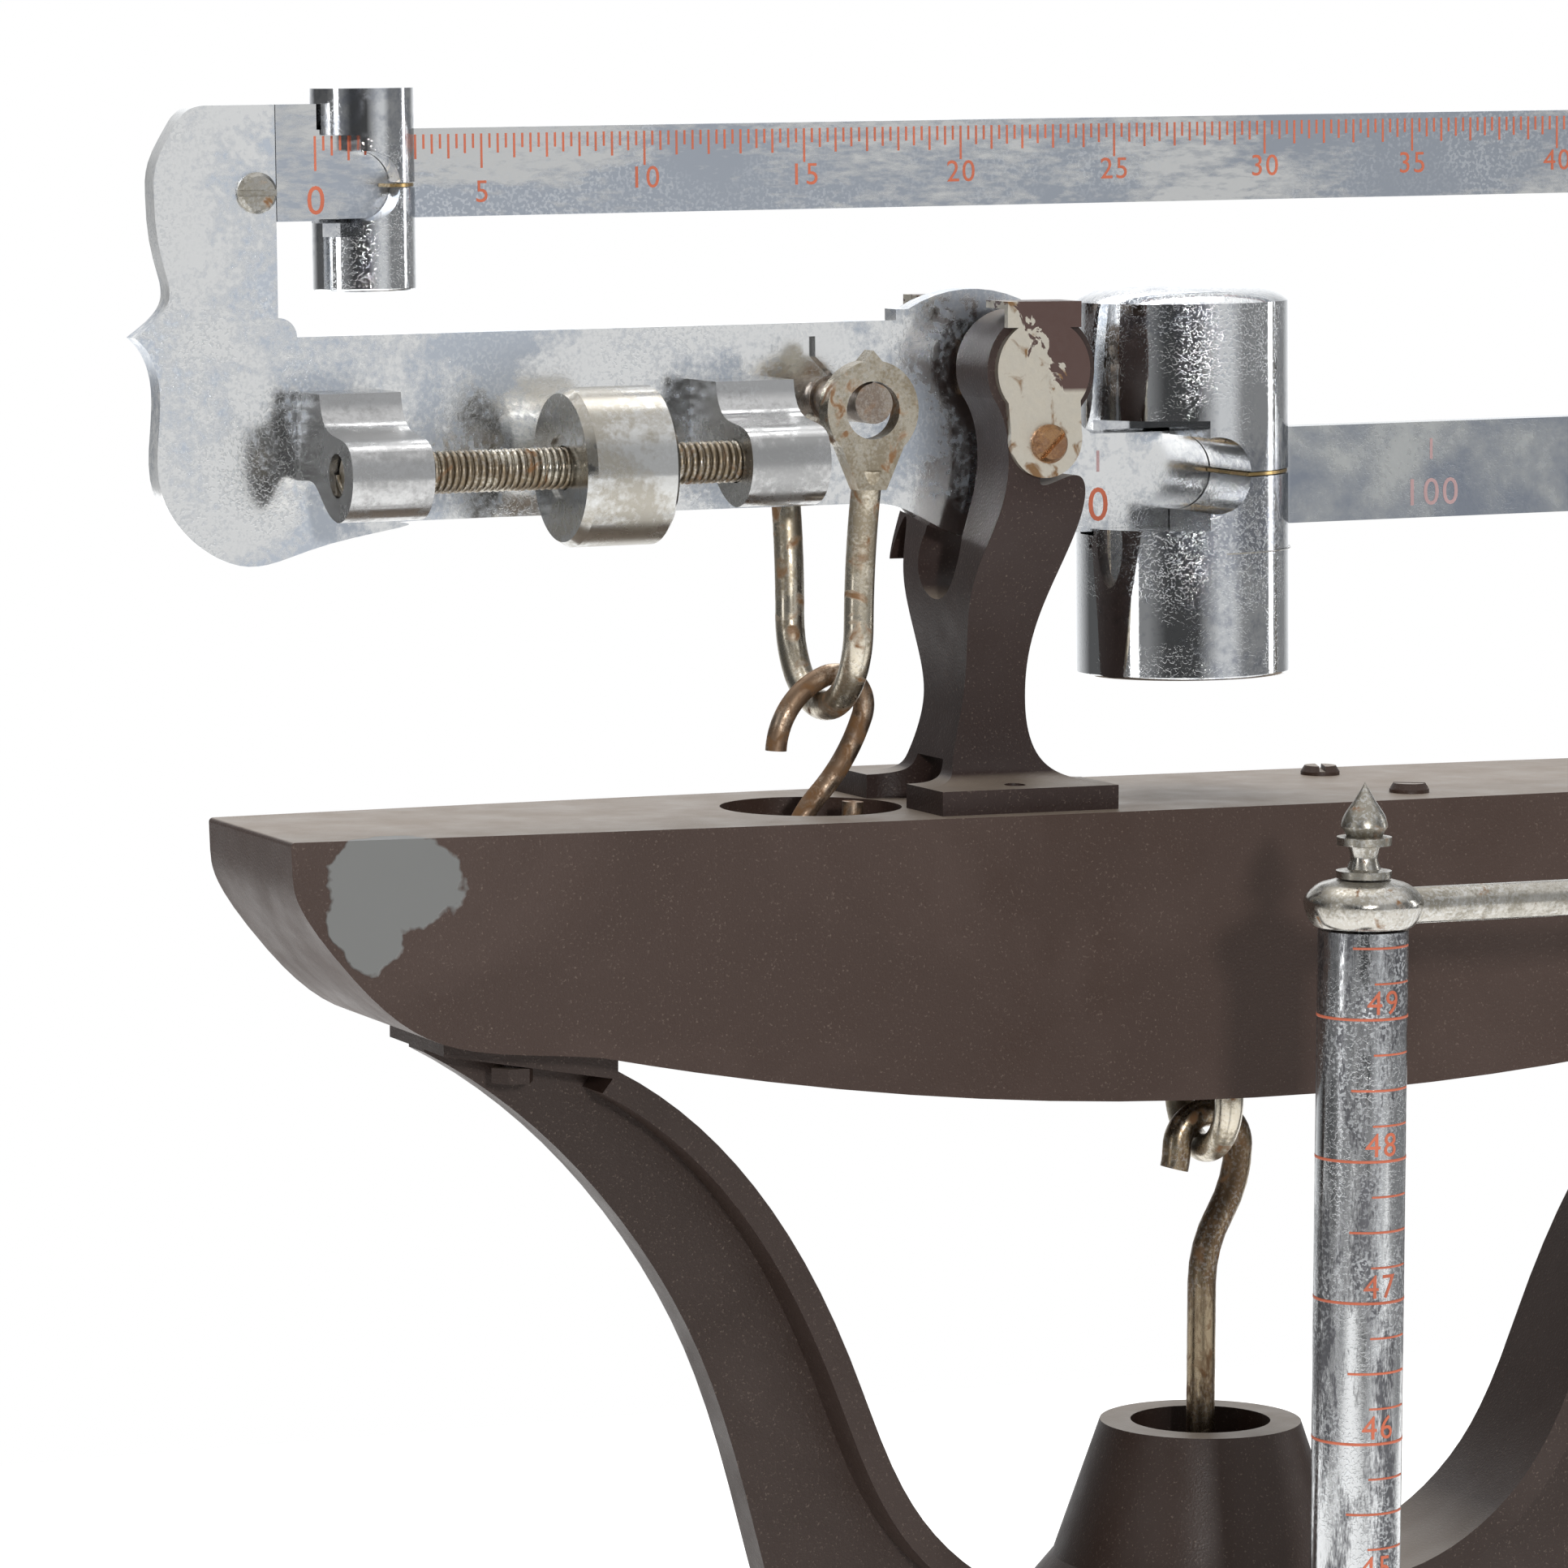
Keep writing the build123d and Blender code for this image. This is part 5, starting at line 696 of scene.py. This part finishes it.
# %% Geometry Nodes: a threaded rod
def thread_tree():
    """A core with a helical ridge, standing on the origin and rising along Z."""
    tree, given, last = start_tree("threaded_rod", (
        ("Length", "NodeSocketFloat", 0.08), ("Core", "NodeSocketFloat", 0.0033),
        ("Crest", "NodeSocketFloat", 0.0039), ("Pitch", "NodeSocketFloat", 0.00127),
        ("Material", "NodeSocketMaterial", None),
    ))
    out = given.outputs
    turns = node(tree, "ShaderNodeMath", operation="DIVIDE", i0=out["Length"], i1=out["Pitch"])
    core = node(tree, "GeometryNodeMeshCylinder", i0=32, i3=out["Core"], i4=out["Length"])
    half = node(tree, "ShaderNodeMath", operation="MULTIPLY", i0=out["Length"], i1=0.5)
    lift = node(tree, "ShaderNodeCombineXYZ", i2=half.outputs[0])
    core_up = node(tree, "GeometryNodeTransform", i0=core.outputs[0])
    tree.links.new(lift.outputs[0], core_up.inputs["Translation"])
    spiral = node(tree, "GeometryNodeCurveSpiral", i0=24, i1=turns.outputs[0], i4=out["Length"])
    for end in (2, 3):
        tree.links.new(out["Core"], spiral.inputs[end])
    height = node(tree, "ShaderNodeMath", operation="SUBTRACT", i0=out["Crest"], i1=out["Core"])
    ridge = node(tree, "GeometryNodeCurvePrimitiveCircle", i0=6, i4=height.outputs[0])
    sweep = node(tree, "GeometryNodeCurveToMesh", i0=spiral.outputs[0], i1=ridge.outputs[0])
    both = tree.nodes.new("GeometryNodeJoinGeometry")
    tree.links.new(sweep.outputs[0], both.inputs[0])
    tree.links.new(core_up.outputs[0], both.inputs[0])
    end_tree(tree, both.outputs[0], out["Material"], last)
    return tree


thread_steel = plate(
    "thread_steel", (0.42, 0.39, 0.33), (0.20, 0.16, 0.11), 120, 0.6, (0.22, 0.45), 0.2, rust=0.35
)
screw_low, screw_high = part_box("balance_screw")
screw_length = (screw_high.x - screw_low.x) / along_beam.x
thread = grow("balance_thread", thread_tree(), {
    "Length": screw_length - 1.4 * MM, "Core": 3.3 * MM, "Crest": 3.9 * MM, "Pitch": 1.27 * MM,
    "Material": thread_steel,
})
screw_middle = (screw_low + screw_high) / 2
screw_start = screw_middle - along_beam * (screw_length / 2 - 0.7 * MM)
screw_turn = along_beam.to_track_quat("Z", "Y").to_matrix().to_4x4()
thread.data.transform(Matrix.Translation(screw_start) @ screw_turn)
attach(thread, "beam")
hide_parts("balance_screw")
print("thread faces:", len(thread.data.polygons))

# %% [markdown]
# The studio is a plain pale floor under soft light. The key light stands in front of the scale, to the
# left and about half a metre above its beam, and throws the rod's soft shadow on the shelf. Polished plate
# shows what surrounds it, so the room has walls: a dark corner, a window, a bright backdrop and grey
# between them. They light the scale and are mirrored in it, but to the camera the room is white. Two
# dim strips at the sides and a wide lamp overhead fill in.

# %% Floor and light
floor_mesh = bpy.data.meshes.new("floor")
floor_mesh.from_pydata([(-6, -6, 0), (6, -6, 0), (6, 6, 0), (-6, 6, 0)], [], [(0, 1, 2, 3)])
floor = bpy.data.objects.new("floor", floor_mesh)
bpy.context.scene.collection.objects.link(floor)
pale_floor = plain_finish("pale_floor", (0.66, 0.66, 0.65), 0.8, 300, 0.00002)
floor_shader = pale_floor.node_tree.nodes["Principled BSDF"]
floor_shader.inputs["Emission Color"].default_value = (1, 1, 1, 1)
floor_shader.inputs["Emission Strength"].default_value = 0.62
floor_mesh.materials.append(pale_floor)
floor.location.z = -0.0005


def area_light(name, place, target, power, width, height):
    """A rectangular lamp that looks at a point."""
    lamp = bpy.data.lights.new(name, "AREA")
    lamp.energy = power
    lamp.shape = "RECTANGLE"
    lamp.size = width
    lamp.size_y = height
    holder = bpy.data.objects.new(name, lamp)
    holder.location = place
    holder.rotation_mode = "QUATERNION"
    holder.rotation_quaternion = (Vector(target) - Vector(place)).to_track_quat("-Z", "Y")
    bpy.context.scene.collection.objects.link(holder)


HEAD = (0.0, 0.18, 1.40)
area_light("key", (-0.56, -2.30, 1.97), HEAD, 30, 0.17, 0.17)
area_light("right_strip", (2.1, 0.0, 1.75), HEAD, 4, 0.3, 1.2)
area_light("left_strip", (-2.1, -0.2, 1.8), HEAD, 5, 0.4, 1.6)
area_light("top", (0.1, 1.1, 3.2), HEAD, 26, 1.6, 1.6)
world = bpy.data.worlds.new("studio")
bpy.context.scene.world = world
world.use_nodes = True
sky = world.node_tree
room = sky.nodes["Background"]
room.inputs["Strength"].default_value = 1.0
direction = node(sky, "ShaderNodeTexCoord").outputs["Generated"]
split = node(sky, "ShaderNodeSeparateXYZ", i0=direction)
bearing = node(sky, "ShaderNodeMath", operation="ARCTAN2", i0=split.outputs["Y"], i1=split.outputs["X"])
compass = node(sky, "ShaderNodeMapRange", i0=bearing.outputs[0], i1=-math.pi, i2=math.pi)
walls = node(sky, "ShaderNodeValToRGB", i0=compass.outputs[0])

# Each wall runs between two bearings, in degrees from the right-hand side, positive to the back.
# Between two walls the grey changes evenly.
LEFT_WALL = (-172, -154, 0.25)
DARK_CORNER = (-134, -100, 0.06)
WINDOW = (-75, -61, 0.66)
RIGHT_WALL = (-46, 26, 0.25)
BACKDROP = (61, 71, 1.2)
REAR_CORNER = (122, 165, 0.10)
SEAM_GREY = 0.17
COOL = Vector((0.97, 0.985, 1.0))
steps = walls.color_ramp.elements
for end in steps:
    end.color = (SEAM_GREY, SEAM_GREY, SEAM_GREY, 1)
for first, last, grey in (LEFT_WALL, DARK_CORNER, WINDOW, RIGHT_WALL, BACKDROP, REAR_CORNER):
    for degrees in (first, last):
        steps.new((degrees + 180) / 360).color = (*(COOL * grey), 1)
CEILING_STARTS = 0.45
CEILING_FULL = 0.75
CEILING = (1.1, 1.1, 1.1, 1)
above = node(sky, "ShaderNodeMapRange", i0=split.outputs["Z"], i1=CEILING_STARTS, i2=CEILING_FULL)
cover = node(
    sky, "ShaderNodeMix", data_type="RGBA", i0=above.outputs[0], i6=walls.outputs[0], i7=CEILING
)
sky.links.new(cover.outputs[2], room.inputs["Color"])
white = node(sky, "ShaderNodeBackground", i0=(1, 1, 1, 1))
path = node(sky, "ShaderNodeLightPath")
blend = node(
    sky, "ShaderNodeMixShader", i0=path.outputs["Is Camera Ray"], i1=room.outputs[0], i2=white.outputs[0]
)
sky.links.new(blend.outputs[0], sky.nodes["World Output"].inputs[0])
bpy.context.scene.view_settings.view_transform = "Standard"

# %% [markdown]
# The camera stands to the left of the head, a little above it, with a long lens, and is turned a
# touch downwards. Its place and angles are written as a surveyor would: position, bearing, pitch, roll.

# %% Camera
CAMERA_PLACE = Vector((-0.59338, -0.97625, 1.48949))
BEARING = math.radians(23.604)
PITCH = math.radians(5.887)
ROLL = math.radians(0.231)
lens = bpy.data.cameras.new("camera")
camera = bpy.data.objects.new("camera", lens)
bpy.context.scene.collection.objects.link(camera)
lens.sensor_width = 36
lens.lens = 156.78
lens.clip_start = 0.05
lens.clip_end = 60
forward = Vector((math.sin(BEARING) * math.cos(PITCH), math.cos(BEARING) * math.cos(PITCH), -math.sin(PITCH)))
level_right = Vector((math.cos(BEARING), -math.sin(BEARING), 0))
level_up = level_right.cross(forward)
right = level_right * math.cos(ROLL) + level_up * math.sin(ROLL)
up = level_up * math.cos(ROLL) - level_right * math.sin(ROLL)
camera.matrix_world = Matrix.Translation(CAMERA_PLACE) @ Matrix((right, up, -forward)).transposed().to_4x4()
bpy.context.scene.camera = camera
print("camera at", [round(v, 3) for v in CAMERA_PLACE])
